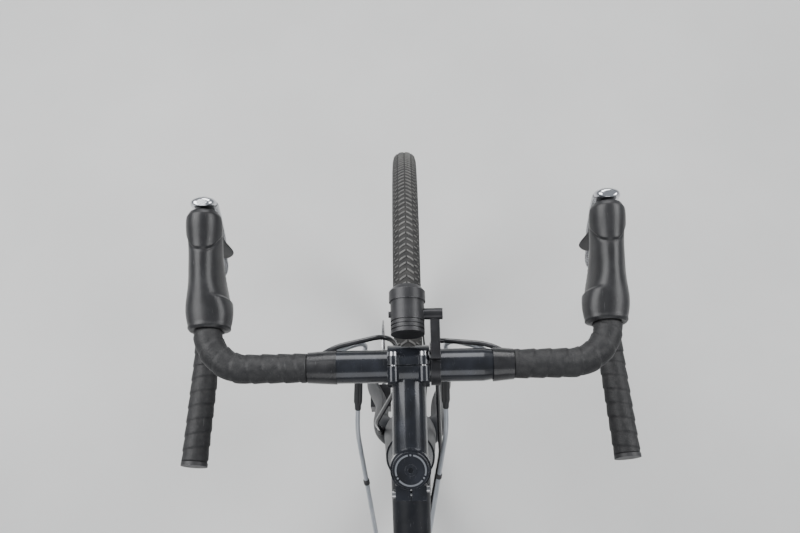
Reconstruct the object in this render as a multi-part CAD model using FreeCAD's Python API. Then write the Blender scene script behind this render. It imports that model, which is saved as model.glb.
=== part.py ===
import FreeCAD, Part
import math
import os

V = FreeCAD.Vector
X = V(1, 0, 0)
Z = V(0, 0, 1)

# ---------------------------------------------------------------- sizes, mm and degrees
# Axes: +Y forward, +X the rider's right, +Z up. The origin is on the ground, midway between the axles.
WHEEL_R = 345.0            # ground to axle: 622 mm rim with a 35 mm tyre
TYRE_W = 35.0
WHEELBASE = 1015.0
HEAD_ANGLE = 72.0
FORK_RAKE = 47.0
FORK_LENGTH = 385.0        # axle to crown race, along the steering axis
HEAD_TUBE = 145.0
SEAT_ANGLE = 73.5
SEAT_TUBE = 500.0
BB_DROP = 70.0
CHAINSTAY = 425.0
RUN = 0.05                 # radial clearance of a running fit
GAP = 0.3                  # side clearance between parts that move past each other

STEERER_R = 14.3           # 28.6 mm steerer
CLAMP_R = 15.9             # 31.8 mm handlebar clamp
BAR_R = 11.9               # 23.8 mm handlebar grip section
BAR_BORE = 10.1
TAPE = 2.5
POST_R = 13.6              # 27.2 mm seatpost
THRU_R = 6.0               # 12 mm through-axles
THRU_BORE = 3.0            # their hollow middle takes the 6 mm pin of a work stand or a car rack
FRONT_HUB = 100.0
REAR_HUB = 142.0
HOSE_R = 2.5
ROTOR_R = 80.0
ROTOR_T = 1.8
CRANK = 172.5
CHAIN_PITCH = 12.7
RING_BIG, RING_SMALL = 50, 34
COGS = (32, 28, 25, 22, 20, 18, 16, 14, 13, 12, 11)
COG_PITCH = 3.69
COG_IN_USE = 5             # index into COGS: the sprocket that carries the chain
FIRST_COG_X = 27.6
SPOKES = 24

STEM_LENGTH = 94.2
STEM_RISE = 12.04          # above the horizontal
SPACERS = 15.0
STEM_HEIGHT = 40.0
BARE_LEFT, BARE_RIGHT = 69.0, 81.0      # where the bar is uncovered, each side of the stem
FINISH_LEFT, FINISH_RIGHT = 28.0, 20.0  # width of the finishing tape

# ---------------------------------------------------------------- main points
FRONT = V(0, WHEELBASE / 2, WHEEL_R)
REAR = V(0, -WHEELBASE / 2, WHEEL_R)
BB = V(0, -WHEELBASE / 2 + math.sqrt(CHAINSTAY ** 2 - BB_DROP ** 2), WHEEL_R - BB_DROP)

HEAD_RAD = math.radians(HEAD_ANGLE)
AXIS = V(0, -math.cos(HEAD_RAD), math.sin(HEAD_RAD))       # up the steering axis
AHEAD = V(0, math.sin(HEAD_RAD), math.cos(HEAD_RAD))       # square to it, forward
RACE = FRONT - AHEAD * FORK_RAKE + AXIS * FORK_LENGTH
SEAT_RAD = math.radians(SEAT_ANGLE)
SEAT = V(0, -math.cos(SEAT_RAD), math.sin(SEAT_RAD))       # up the seat tube


def steer(along, ahead=0.0, x=0.0):
    """A point measured from the crown race: up the steering axis, ahead of it and to the right."""
    return RACE + AXIS * along + AHEAD * ahead + X * x


TOP_OF_HEAD = HEAD_TUBE + 1.0
STEM_FOOT = TOP_OF_HEAD + 12.5 + SPACERS
STEM_MID = STEM_FOOT + STEM_HEIGHT / 2
STEM_TOP = STEM_FOOT + STEM_HEIGHT
RISE_RAD = math.radians(STEM_RISE)
ALONG = V(0, math.cos(RISE_RAD), math.sin(RISE_RAD))       # along the stem
OVER = V(0, -math.sin(RISE_RAD), math.cos(RISE_RAD))       # square to the stem, upward
BAR = steer(STEM_MID) + ALONG * STEM_LENGTH    # middle of the handlebar


# ---------------------------------------------------------------- tools
def unit(v):
    return V(v) * (1.0 / v.Length)


def rod(p, q, r, bore=0.0):
    d = q - p
    s = Part.makeCylinder(r, d.Length, p, d)
    return s.cut(Part.makeCylinder(bore, d.Length, p, d)) if bore else s


def cone(p, q, r1, r2):
    d = q - p
    return Part.makeCone(r1, r2, d.Length, p, d)


def taper(p, q, r1, r2, wall):
    return cone(p, q, r1, r2).cut(cone(p, q, r1 - wall, r2 - wall))


def block(centre, size, z=Z, x=X):
    """A box about a centre, its own Z and X along the directions given."""
    y = z.cross(x)
    m = FreeCAD.Matrix(x.x, y.x, z.x, centre.x, x.y, y.y, z.y, centre.y, x.z, y.z, z.z, centre.z,
                       0, 0, 0, 1)
    b = Part.makeBox(size[0], size[1], size[2], V(-size[0] / 2, -size[1] / 2, -size[2] / 2))
    b.Placement = FreeCAD.Placement(m)
    return b


def join(first, *others):
    return first.fuse(list(others)).removeSplitter()


def across(centre, r, x1, x2, bore=0.0):
    """A cylinder whose axis runs left to right through a centre."""
    return rod(V(x1, centre.y, centre.z), V(x2, centre.y, centre.z), r, bore)


def turned(centre, profile):
    """A ring turned about the left-to-right axis through a centre from a closed (x, radius) outline."""
    pts = [V(x, centre.y, centre.z + r) for x, r in profile]
    face = Part.Face(Part.makePolygon(pts + pts[:1]))
    return face.revolve(centre, X, 360)


def route(points, radii):
    """Straight runs through the points, each corner rounded with a tangent arc."""
    edges, start = [], points[0]
    for i, r in enumerate(radii, 1):
        a, b = unit(points[i - 1] - points[i]), unit(points[i + 1] - points[i])
        half = a.getAngle(b) / 2
        back = r / math.tan(half)
        p, q = points[i] + a * back, points[i] + b * back
        mid = points[i] + unit(a + b) * (r / math.sin(half) - r)
        edges += [Part.LineSegment(start, p).toShape(), Part.Arc(p, mid, q).toShape()]
        start = q
    edges.append(Part.LineSegment(start, points[-1]).toShape())
    return Part.Wire(edges)


def sweep(path, r, bore=0.0):
    first = path.Edges[0]
    p, t = first.valueAt(first.FirstParameter), first.tangentAt(first.FirstParameter)
    rings = [Part.Wire(Part.makeCircle(k, p, t)) for k in ((r, bore) if bore else (r,))]
    return path.makePipe(Part.Face(rings))


def oval(centre, half_x, half_y, normal=Z):
    """An elliptical outline that starts at +X: half_x along X, half_y along the plane's other axis."""
    side = unit(normal.cross(X))
    if half_x >= half_y:
        ellipse = Part.Ellipse(centre + X * half_x, centre + side * half_y, centre)
        arc = Part.ArcOfEllipse(ellipse, 0, 2 * math.pi)
    else:
        arc = Part.ArcOfEllipse(Part.Ellipse(centre + side * half_y, centre - X * half_x, centre),
                                -math.pi / 2, 1.5 * math.pi)
    return Part.Wire(arc.toShape())


def loft(outlines):
    return Part.makeLoft(outlines, True, False)


def mirror(shape):
    return shape.mirror(V(0, 0, 0), X)


def save(name, *solids):
    shape = solids[0] if len(solids) == 1 else Part.makeCompound(list(solids))
    if len(solids) == 1 and len(shape.Solids) == 1:
        shape = shape.Solids[0]
    shape.exportStep("parts/%s.step" % name)
    return shape


def belt(circles, turns, x):
    """A closed loop of tangent lines and arcs round circles (centre, radius) in the plane x.
    A turn of +1 passes a circle anticlockwise, -1 clockwise, seen with +Y to the right."""
    n = len(circles)
    leave, arrive = [None] * n, [None] * n
    for i in range(n):
        j = (i + 1) % n
        (c1, r1), (c2, r2) = circles[i], circles[j]
        dy, dz = c2.y - c1.y, c2.z - c1.z
        aim = math.atan2(dz, dy) - math.asin((turns[j] * r2 - turns[i] * r1) / math.hypot(dy, dz))
        left = V(0, -math.sin(aim), math.cos(aim))
        leave[i] = V(x, c1.y, c1.z) - left * (turns[i] * r1)
        arrive[j] = V(x, c2.y, c2.z) - left * (turns[j] * r2)
    edges = []
    for i in range(n):
        c, r = circles[i]
        centre = V(x, c.y, c.z)
        a = math.atan2(arrive[i].z - c.z, arrive[i].y - c.y)
        b = math.atan2(leave[i].z - c.z, leave[i].y - c.y)
        wrap = (b - a) % (2 * math.pi) if turns[i] > 0 else -((a - b) % (2 * math.pi))
        mid = centre + V(0, math.cos(a + wrap / 2), math.sin(a + wrap / 2)) * r
        edges.append(Part.Arc(arrive[i], mid, leave[i]).toShape())
        edges.append(Part.LineSegment(leave[i], arrive[(i + 1) % n]).toShape())
    return Part.Wire(edges)


def plate(circles, x1, x2):
    """A flat plate with the outline of a belt round circles."""
    return Part.Face(belt(circles, [1] * len(circles), x1)).extrude(X * (x2 - x1))


def pitch_r(teeth):
    return CHAIN_PITCH / (2 * math.sin(math.pi / teeth))


def sprocket(centre, teeth, x, thick, bore, phase=0.0):
    """A toothed disc; phase turns a gap between two teeth to that angle from +Y."""
    root, tip, step = pitch_r(teeth) - 3.9, pitch_r(teeth) + 2.6, 2 * math.pi / teeth
    pts = []
    for i in range(teeth):
        for part, r in ((-0.28, root), (0.28, root), (0.43, tip), (0.57, tip)):
            a = phase + (i + part) * step
            pts.append(V(x - thick / 2, centre.y + r * math.cos(a), centre.z + r * math.sin(a)))
    disc = Part.Face(Part.makePolygon(pts + pts[:1])).extrude(X * thick)
    return disc.cut(across(centre, bore, x - thick, x + thick))


os.makedirs("parts", exist_ok=True)

# ---------------------------------------------------------------- wheels
RIM_R = WHEEL_R - 28.0     # outer edge of the rim wall
TUBE_R = WHEEL_R - TYRE_W / 2


def tyre(centre):
    half, lip = TYRE_W / 2, RIM_R + 0.2
    inner = half - 2.5
    out = [(half * math.sin(a), TUBE_R + half * math.cos(a))
           for a in [math.radians(k) for k in (-126, -105, -84, -63, -42, -21, 0, 21, 42, 63, 84, 105, 126)]]
    ins = [(inner * math.sin(a), TUBE_R + inner * math.cos(a))
           for a in [math.radians(k) for k in (117, 90, 60, 30, 0, -30, -60, -90, -117)]]

    def curve(rows):
        pts = [V(x, centre.y, centre.z + r) for x, r in rows]
        return Part.Arc(pts[0], pts[len(pts) // 2], pts[-1]).toShape()

    def line(rows):
        return Part.makePolygon([V(x, centre.y, centre.z + r) for x, r in rows])

    crown, lining = curve(out), curve(ins)
    right = line([out[-1], (9.4, lip), (9.4, lip - 5.4), (6.6, lip - 5.4), (6.6, lip), ins[0]])
    left = line([ins[-1], (-6.6, lip), (-6.6, lip - 5.4), (-9.4, lip - 5.4), (-9.4, lip), out[0]])
    face = Part.Face(Part.Wire([crown] + right.Edges + [lining] + left.Edges))
    return face.revolve(centre, X, 360)


def rim(centre):
    r = RIM_R
    outer = [(-12, r), (-9.5, r), (-9.5, r - 5.3), (-5, r - 5.5), (-4, r - 9), (4, r - 9), (5, r - 5.5),
             (9.5, r - 5.3), (9.5, r), (12, r), (12, r - 14), (7, r - 27), (-7, r - 27), (-12, r - 14)]
    hollow = [(-10, r - 11.5), (10, r - 11.5), (10, r - 14.5), (5.5, r - 25), (-5.5, r - 25), (-10, r - 14.5)]
    return turned(centre, outer).cut(turned(centre, hollow))


def spokes(centre, left_x, right_x, flange_r):
    """Crossed spokes with nipples: left_x and right_x are the middles of the 3 mm hub flanges."""
    wires = []
    for k in range(SPOKES):
        side, turn = (1 if k % 2 else -1), (1 if (k // 2) % 2 else -1)
        at = 2 * math.pi * k / SPOKES
        hub_at = at + turn * math.radians(66)
        x = (right_x if side > 0 else left_x) + side * (3.6 if turn > 0 else -2.6)
        p = centre + V(x, flange_r * math.cos(hub_at), flange_r * math.sin(hub_at))
        q = centre + V(side * 2.0, (RIM_R - 27.2) * math.cos(at), (RIM_R - 27.2) * math.sin(at))
        nip = q + unit(p - q) * 13
        wires.append(join(rod(p, q, 1.0), rod(nip, q, 1.8)))
    return wires


def rotor(centre, x, bore):
    parts = [across(centre, ROTOR_R, x - ROTOR_T / 2, x + ROTOR_T / 2, ROTOR_R - 15),
             across(centre, 25, x - ROTOR_T / 2, x + ROTOR_T / 2, bore)]
    for k in range(6):
        a = math.radians(60 * k)
        out, lean = V(0, math.cos(a), math.sin(a)), math.radians(60 * k + 24)
        tilt = V(0, math.cos(lean), math.sin(lean))
        mid = V(x, centre.y, centre.z) + out * 22 + tilt * 23
        parts.append(block(mid, (ROTOR_T, 5, 48), tilt))
    return join(*parts)


FRONT_ROTOR_X, REAR_ROTOR_X = -39.5, -55.5
for name, centre in (("front", FRONT), ("rear", REAR)):
    save(name + "_tyre", tyre(centre))
    save(name + "_rim", rim(centre))
half = FRONT_HUB / 2 - GAP
front_hub = turned(FRONT, [(-half, THRU_R + RUN), (half, THRU_R + RUN), (half, 10), (32, 12), (27, 15),
                           (27, 26), (24, 26), (24, 16), (20, 14), (-16, 14), (-20, 16), (-20, 26), (-23, 26),
                           (-26, 17),
                           (-43, 17), (-43, 10), (-half, 10)])
save("front_hub", front_hub)
save("front_spokes", *spokes(FRONT, -21.5, 25.5, 23.0))
save("front_rotor", rotor(FRONT, FRONT_ROTOR_X, 17))
half = REAR_HUB / 2 - GAP
rear_hub = turned(REAR, [(-half, THRU_R + RUN), (26.5, THRU_R + RUN), (26.5, 15), (21, 17), (21, 28),
                         (18, 28), (18, 18), (14, 16), (-29, 16), (-33, 18), (-33, 26), (-36, 26),
                         (-40, 17), (-59, 17), (-59, 10), (-half, 10)])
save("rear_hub", rear_hub)
save("rear_spokes", *spokes(REAR, -34.5, 19.5, 24.0))
save("rear_rotor", rotor(REAR, REAR_ROTOR_X, 17))

# ---------------------------------------------------------------- chain drive
COG_X = FIRST_COG_X + COG_IN_USE * COG_PITCH
DRIVE_COG = COGS[COG_IN_USE]
GUIDE = REAR + V(0, 10, -78)
TENSION = GUIDE + V(0, 24, -52)
JOCKEY = 11
LOOP = [(REAR, pitch_r(DRIVE_COG)), (GUIDE, pitch_r(JOCKEY)), (TENSION, pitch_r(JOCKEY)),
        (BB, pitch_r(RING_BIG))]
TURNS = [1, -1, 1, 1]


def chain_edge(out):
    return belt([(c, r + t * out) for (c, r), t in zip(LOOP, TURNS)], TURNS, COG_X)


band = Part.Face([chain_edge(4.0), chain_edge(-4.0)]).extrude(X * 1.2)
save("chain", band.translated(X * 1.35), band.translated(X * -2.55))

core_end = REAR_HUB / 2 - GAP
last_x = FIRST_COG_X + (len(COGS) - 1) * COG_PITCH
core = turned(REAR, [(26.8, THRU_R + RUN), (core_end, THRU_R + RUN), (core_end, 10), (last_x + 2, 10),
                     (last_x + 2, 16), (26.8, 16)])
save("cassette", core, *[sprocket(REAR, t, FIRST_COG_X + i * COG_PITCH, 1.6, 16)
                         for i, t in enumerate(COGS)])

bolt_r = 55.0
big = sprocket(BB, RING_BIG, COG_X, 1.6, 84)
big = join(big, across(BB, 86, COG_X - 0.8, COG_X + 0.8, 62))
small = sprocket(BB, RING_SMALL, COG_X - 7, 1.6, 50)
RING_BOLTS = [BB + V(0, bolt_r * math.cos(a), bolt_r * math.sin(a))
              for a in [math.radians(45 + 90 * k) for k in range(4)]]
tabs = [plate([(b, 8.0), (BB + (b - BB) * 1.25, 12.0)], COG_X - 0.8, COG_X + 0.8) for b in RING_BOLTS]
big = join(big, *tabs)
pins = []
for b in RING_BOLTS:
    hole = across(b, 4.0, COG_X - 12, COG_X + 8)
    big, small = big.cut(hole), small.cut(hole)
    pins.append(join(across(b, 4.0, COG_X - 7.8, COG_X + 0.8), across(b, 6.0, COG_X + 0.8, COG_X + 2.6),
                     across(b, 6.0, COG_X - 9.4, COG_X - 7.8)))
save("chainrings", big, small, *pins)

ARM_X = 59.0               # inner face of each crank arm
ARM_T = 13.0
SPINDLE_R = 12.0
PEDAL_R = BB + V(0, CRANK, 0)
PEDAL_L = BB - V(0, CRANK, 0)
spider = [block(BB + (b - BB) * 0.62 + X * (COG_X - 3.5), (5.4, 20, 50), unit(b - BB)) for b in RING_BOLTS]
right_arm = join(plate([(BB, 18.0), (PEDAL_R, 13.0)], ARM_X, ARM_X + ARM_T),
                 across(BB, 24, COG_X - 6.2 + 1.5, ARM_X), across(BB, SPINDLE_R, -ARM_X, ARM_X), *spider)
for b in RING_BOLTS:
    right_arm = right_arm.cut(across(b, 4.0, COG_X - 12, COG_X + 8))
left_arm = plate([(BB, 18.0), (PEDAL_L, 13.0)], -ARM_X - ARM_T, -ARM_X)
AXLE_R = 4.5
axle = join(across(PEDAL_R, 7.0, ARM_X + 2, ARM_X + ARM_T + 3), across(PEDAL_R, AXLE_R, ARM_X + ARM_T, 158))
right_arm = right_arm.cut(across(PEDAL_R, 7.0, ARM_X + 2, ARM_X + ARM_T + 3))
left_axle = axle.mirror(BB, X).mirror(BB, V(0, 1, 0))
left_arm = left_arm.cut(left_axle)
save("crankset", right_arm, left_arm, axle, left_axle)


def pedal(centre):
    """A platform pedal: a tubular centre, a flat cage round it and cross bars."""
    x1, x2 = ARM_X + ARM_T + 4, 155.0
    mid = V((x1 + x2) / 2 + 4, centre.y, centre.z)
    cage = block(mid, (x2 - x1 - 8, 92, 12)).cut(block(mid, (x2 - x1 - 22, 78, 14)))
    web = block(mid, (7, 90, 9))
    body = join(cage, web, across(centre, 9.0, x1, x2))
    return body.cut(across(centre, AXLE_R + RUN, x1 - 1, 170))


right_pedal = pedal(PEDAL_R)
save("pedal_right", right_pedal)
save("pedal_left", right_pedal.mirror(BB, X).mirror(BB, V(0, 1, 0)))

# ---------------------------------------------------------------- frame
BB_SHELL_R, BB_HALF = 23.0, 37.0
shell = across(BB, BB_SHELL_R, -BB_HALF, BB_HALF, 18.0)
shell = join(shell, across(BB, BB_SHELL_R, -BB_HALF, -BB_HALF + 8, SPINDLE_R + RUN),
             across(BB, BB_SHELL_R, BB_HALF - 8, BB_HALF, SPINDLE_R + RUN))
save("bottom_bracket_shell", shell)
bb_solid = across(BB, BB_SHELL_R, -BB_HALF, BB_HALF)

HEAD_BOT_R, HEAD_TOP_R = 30.0, 24.5
LOW_BEARING_R, TOP_BEARING_R, RACE_R = 26.0, 21.5, 19.8
head_solid = cone(steer(1), steer(TOP_OF_HEAD), HEAD_BOT_R, HEAD_TOP_R)
head = head_solid.cut(rod(steer(0), steer(150 + HEAD_TUBE), 20.3))
head = head.cut(rod(steer(0), steer(11), LOW_BEARING_R)).cut(
    rod(steer(TOP_OF_HEAD - 7), steer(TOP_OF_HEAD + 1), TOP_BEARING_R))
save("head_tube", head)
low_bearing = rod(steer(4), steer(11), LOW_BEARING_R, RACE_R + RUN)
top_bearing = rod(steer(TOP_OF_HEAD - 7), steer(TOP_OF_HEAD), TOP_BEARING_R, STEERER_R + RUN)
save("headset_bearings", low_bearing, top_bearing)

SEAT_R = 16.0
SEAT_TOP = BB + SEAT * SEAT_TUBE
seat_solid = rod(BB, SEAT_TOP, SEAT_R).cut(bb_solid)
DT_TOP, TT_TOP, TT_END = steer(40), steer(HEAD_TUBE - 27), BB + SEAT * (SEAT_TUBE - 30)
DT_R = 22.5
TT_R1, TT_R2 = 20.0, 14.5
TUBE_WALL = 2.0
down_solid = rod(DT_TOP, BB, DT_R)
down_tube = rod(DT_TOP, BB, DT_R, DT_R - TUBE_WALL).cut(head_solid).cut(bb_solid)
down_tube = down_tube.cut(rod(steer(-40), steer(0.5), 31.5))
top_tube = taper(TT_TOP, TT_END, TT_R1, TT_R2, TUBE_WALL).cut(head_solid).cut(rod(BB, SEAT_TOP, SEAT_R))
seat_tube = seat_solid.cut(rod(BB, SEAT_TOP, POST_R + 0.02)).cut(down_solid)

DT_DIR = unit(BB - DT_TOP)
DT_UP = unit(V(0, DT_DIR.z, -DT_DIR.y))
ST_FORE = V(0, SEAT.z, -SEAT.y)
BOTTLE = 64.0              # spacing of the two bottle-cage holes


def bossed(tube, points, out, surface_r):
    """Threaded bosses for M5 cage bolts on one side of a tube."""
    for p in points:
        tube = join(tube, rod(p + out * (surface_r - 8), p + out * (surface_r + 1), 5.0))
    for p in points:
        tube = tube.cut(rod(p + out * (surface_r - 9), p + out * (surface_r + 2), 2.5))
    return tube


dt_mid = DT_TOP + DT_DIR * 330
down_tube = bossed(down_tube, [dt_mid - DT_DIR * (BOTTLE / 2), dt_mid + DT_DIR * (BOTTLE / 2)],
                   DT_UP, DT_R)
st_holes = [BB + SEAT * (190 - BOTTLE / 2), BB + SEAT * (190 + BOTTLE / 2)]
for p in st_holes:
    seat_tube = seat_tube.cut(rod(p + ST_FORE * 10, p + ST_FORE * 20, 2.5))
save("top_tube", top_tube)
save("seat_tube", seat_tube)

# Rear stays, one V of chainstay, seatstay and dropout each side
DROP_IN, DROP_OUT = REAR_HUB / 2, REAR_HUB / 2 + 8
stay_run = route([BB + V(19, -16, 1), BB + V(29, -102, 14), REAR + V(75.5, 78, -12), REAR + V(75.5, 10, 0)],
                 [120, 90])
chainstay = sweep(stay_run, 8.0)
SEATSTAY_TOP = BB + SEAT * (SEAT_TUBE - 48)
seatstay_run = route([SEATSTAY_TOP + V(9, 0, 0), SEATSTAY_TOP + V(25, -62, -72), REAR + V(75.5, 0, 60),
                      REAR + V(75.5, 0, 8)], [90, 60])
seatstay = sweep(seatstay_run, 6.5)
dropout = across(REAR, 16.0, DROP_IN, DROP_OUT)
stays = join(chainstay, seatstay, dropout)
HANGER = REAR + V(0, -9, -30)
hub_room = across(REAR, 15.0, -DROP_IN, DROP_IN)
cutters = [bb_solid, rod(BB, SEAT_TOP, SEAT_R), hub_room, across(REAR, THRU_R, 0, 100),
           block(REAR + V(0, 0, 0), (2 * DROP_IN, 60, 60))]


def trimmed(v):
    for c in cutters:
        v = v.cut(c)
    return v


stays_right = join(stays, plate([(REAR, 14.0), (HANGER, 10.0)], DROP_IN + 1, DROP_OUT))
stays_right = trimmed(stays_right).cut(across(HANGER, 5.0, 0, 100))
stays_left = mirror(trimmed(stays)).cut(across(REAR, 9.3, -DROP_OUT - 9, -DROP_OUT))

save("seat_clamp", rod(SEAT_TOP - SEAT * 14, SEAT_TOP, SEAT_R + 4, SEAT_R)
     .fuse(block(SEAT_TOP - SEAT * 7 - ST_FORE * 23, (15, 9, 13), SEAT))
     .cut(rod(SEAT_TOP - SEAT * 15, SEAT_TOP + SEAT, SEAT_R))
     .cut(block(SEAT_TOP - SEAT * 7 - ST_FORE * 22, (1.5, 14, 16), SEAT))
     .cut(rod(SEAT_TOP - SEAT * 7 - ST_FORE * 24 - X * 9, SEAT_TOP - SEAT * 7 - ST_FORE * 24 + X * 9, 2.5)),
     rod(SEAT_TOP - SEAT * 7 - ST_FORE * 24 - X * 8, SEAT_TOP - SEAT * 7 - ST_FORE * 24 + X * 9, 2.5))

rear_axle = join(across(REAR, THRU_R, -DROP_OUT - 1, DROP_OUT + 1),
                 across(REAR, 9.0, -DROP_OUT - 5, -DROP_OUT))
save("rear_axle", rear_axle.cut(across(REAR, THRU_BORE, -100, 100)))

# ---------------------------------------------------------------- saddle and seatpost
SADDLE = V(0, -293, 965)   # middle of the saddle's top
RAIL_Z = SADDLE.z - 50
POST_TOP = BB + SEAT * ((RAIL_Z - 14 - BB.z) / SEAT.z)
CLAMP_AT = V(0, POST_TOP.y - 6, RAIL_Z)
RAIL_R, RAIL_X = 3.5, 22.0
rail_path = [V(RAIL_X + 6, SADDLE.y - 112, SADDLE.z - 26), V(RAIL_X, SADDLE.y - 72, RAIL_Z),
             V(RAIL_X, SADDLE.y + 34, RAIL_Z), V(9, SADDLE.y + 108, SADDLE.z - 25)]
rail = sweep(route(rail_path, [40, 60]), RAIL_R)
rails = [rail, mirror(rail)]
post = rod(BB + SEAT * (SEAT_TUBE - 130), POST_TOP, POST_R, POST_R - 2.2)
cradle = block(CLAMP_AT - Z * 6.5, (56, 34, 11))
lid = block(CLAMP_AT + Z * 4.5, (56, 30, 7))
seatpost = join(post, rod(POST_TOP - SEAT * 8, POST_TOP + SEAT * 8, POST_R), cradle)
bolts = [rod(CLAMP_AT + V(0, k * 11, -15), CLAMP_AT + V(0, k * 11, 12), 2.5) for k in (-1, 1)]
for cut in rails + bolts:
    seatpost, lid = seatpost.cut(cut), lid.cut(cut)
save("seatpost", seatpost, lid, *bolts)
save("saddle_rails", *rails)
SECTIONS = ((-138, 46, 8), (-122, 64, 15), (-90, 71.5, 19), (-55, 66, 20), (-18, 45, 19), (25, 30, 18),
            (75, 22, 17), (118, 18, 15), (134, 11, 9))
pad = loft([oval(V(0, SADDLE.y + y, SADDLE.z - 17 + 2 * (y / 130.0) ** 2), w, h, V(0, 1, 0))
            for y, w, h in SECTIONS])
under = Part.makeBox(300, 400, 60, V(-150, SADDLE.y - 200, SADDLE.z - 20 - 60))
hollow = loft([oval(V(0, SADDLE.y + y, SADDLE.z - 21), w - 7, h - 4, V(0, 1, 0))
               for y, w, h in SECTIONS[1:-1]])
shell_part = pad.common(under).cut(hollow)
save("saddle_pad", pad.cut(under))
for r in rails:
    shell_part = shell_part.cut(r)
save("saddle_shell", shell_part)

# ---------------------------------------------------------------- fork and headset
def leg_section(along, x, half_x, half_y):
    lean = FORK_RAKE * (-12 - along) / (FORK_LENGTH - 12)
    return oval(steer(along, lean, x), half_x, half_y, AXIS)


leg = loft([leg_section(-8, 14, 14, 17), leg_section(-34, 29.5, 12, 16), leg_section(-80, 35.5, 9.5, 13.5),
            leg_section(-220, 46, 8.5, 12), leg_section(-FORK_LENGTH + 30, 56, 6.5, 9.5),
            leg_section(-FORK_LENGTH + 4, 57.5, 6.5, 9.5)])
tip = across(FRONT, 12.0, FRONT_HUB / 2, FRONT_HUB / 2 + 14)
crown = join(rod(steer(-26), steer(0), 24.0), cone(steer(-12), steer(0), 24.0, 28.5))
fork = join(crown, leg, mirror(leg), tip, mirror(tip), rod(steer(-4), steer(STEM_TOP - 3), STEERER_R),
            rod(steer(0), steer(11), RACE_R), cone(steer(11), steer(24), RACE_R, STEERER_R))
fork = fork.cut(rod(steer(-40), steer(STEM_TOP), STEERER_R - 2.5))
fork = fork.cut(across(FRONT, WHEEL_R + 6, -TYRE_W / 2 - 4.5, TYRE_W / 2 + 4.5))
fork = fork.cut(across(FRONT, THRU_R, -100, 100)).cut(
    across(FRONT, 40.0, -FRONT_HUB / 2, FRONT_HUB / 2))
front_axle = join(across(FRONT, THRU_R, -FRONT_HUB / 2 - 12, FRONT_HUB / 2 + 14),
                  across(FRONT, 9.0, FRONT_HUB / 2 + 14, FRONT_HUB / 2 + 18))
save("front_axle", front_axle.cut(across(FRONT, THRU_BORE, -100, 100)))

cover_top = TOP_OF_HEAD + 12.5
spacers = [cone(steer(TOP_OF_HEAD + 1), steer(cover_top), 23.0, 18.5).cut(
    rod(steer(TOP_OF_HEAD), steer(cover_top + 1), STEERER_R))]
for k in range(3):
    foot = cover_top + SPACERS * k / 3
    spacers.append(rod(steer(foot), steer(foot + SPACERS / 3), 17.5, STEERER_R))
save("headset_spacers", *spacers)

cap = join(cone(steer(STEM_TOP), steer(STEM_TOP + 4), 18.0, 17.0), rod(steer(STEM_TOP - 14), steer(STEM_TOP),
                                                                  STEERER_R - 2.5))
cap_bolt = join(rod(steer(STEM_TOP - 10), steer(STEM_TOP + 2), 3.0),
                rod(steer(STEM_TOP + 1), steer(STEM_TOP + 4.5), 5.5))
cap_bolt = cap_bolt.cut(rod(steer(STEM_TOP + 2), steer(STEM_TOP + 5), 2.6))
cap = cap.cut(rod(steer(STEM_TOP - 10), steer(STEM_TOP + 2), 3.0)).cut(
    rod(steer(STEM_TOP + 1), steer(STEM_TOP + 6), 5.5))
save("top_cap", cap, cap_bolt)

# ---------------------------------------------------------------- stem
CLAMP_HALF = 20.0
SPLIT = 0.6                # half the gap between stem and faceplate
LUG_X, LUG_OVER = 14.5, 18.5
mid = steer(STEM_MID)
neck = cone(mid, BAR, 17.0, 16.0)
ring = rod(BAR - X * CLAMP_HALF, BAR + X * CLAMP_HALF, CLAMP_R + 4.6)
ears = block(steer(STEM_MID, -22), (29, 14, STEM_HEIGHT - 3), AXIS)
lugs = [(x, o) for x in (-LUG_X, LUG_X) for o in (-LUG_OVER, LUG_OVER)]
back_lugs = [rod(BAR + V(x, 0, 0) + OVER * o - ALONG * 15, BAR + V(x, 0, 0) + OVER * o, 5.2) for x, o in lugs]
stem = join(rod(steer(STEM_FOOT), steer(STEM_TOP), 19.2), neck, ring, ears, *back_lugs)
front_half = block(BAR + ALONG * (30 - SPLIT), (80, 90, 60), ALONG)
back_half = block(BAR - ALONG * (30 - SPLIT), (80, 90, 60), ALONG)
bar_bore = rod(BAR - X * 60, BAR + X * 60, CLAMP_R)
stem = stem.cut(front_half).cut(bar_bore).cut(rod(steer(STEM_FOOT - 1), steer(STEM_TOP + 1), STEERER_R))
stem = stem.cut(block(steer(STEM_MID, -24), (1.5, 24, 60), AXIS))
face_lugs = [rod(BAR + V(x, 0, 0) + OVER * o, BAR + V(x, 0, 0) + OVER * o + ALONG * 9, 5.2) for x, o in lugs]
face = join(rod(BAR - X * CLAMP_HALF, BAR + X * CLAMP_HALF, CLAMP_R + 4.0), *face_lugs)
face = face.cut(back_half).cut(bar_bore).cut(block(BAR + ALONG * 20, (14, 17, 30), ALONG))
screws = []
for x, o in lugs:
    at = BAR + V(x, 0, 0) + OVER * o
    screw = join(rod(at - ALONG * 13, at + ALONG * 9, 2.5), rod(at + ALONG * 9, at + ALONG * 13, 4.2))
    screws.append(screw.cut(rod(at + ALONG * 10.5, at + ALONG * 14, 2.0)))
    shank = rod(at - ALONG * 13, at + ALONG * 9, 2.5)
    stem, face = stem.cut(shank), face.cut(shank).cut(rod(at + ALONG * 9, at + ALONG * 20, 4.6))
for up, side in ((-11, 1), (11, -1)):
    at = steer(STEM_MID + up, -24)
    screw = join(rod(at - X * 12 * side, at + X * 14.5 * side, 2.5),
                 rod(at + X * 14.5 * side, at + X * 18 * side, 4.2))
    screws.append(screw.cut(rod(at + X * 16 * side, at + X * 19 * side, 2.0)))
    stem = stem.cut(rod(at - X * 12 * side, at + X * 14.5 * side, 2.5))
save("stem", stem)
save("stem_faceplate", face)
save("stem_screws", *screws)

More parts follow.
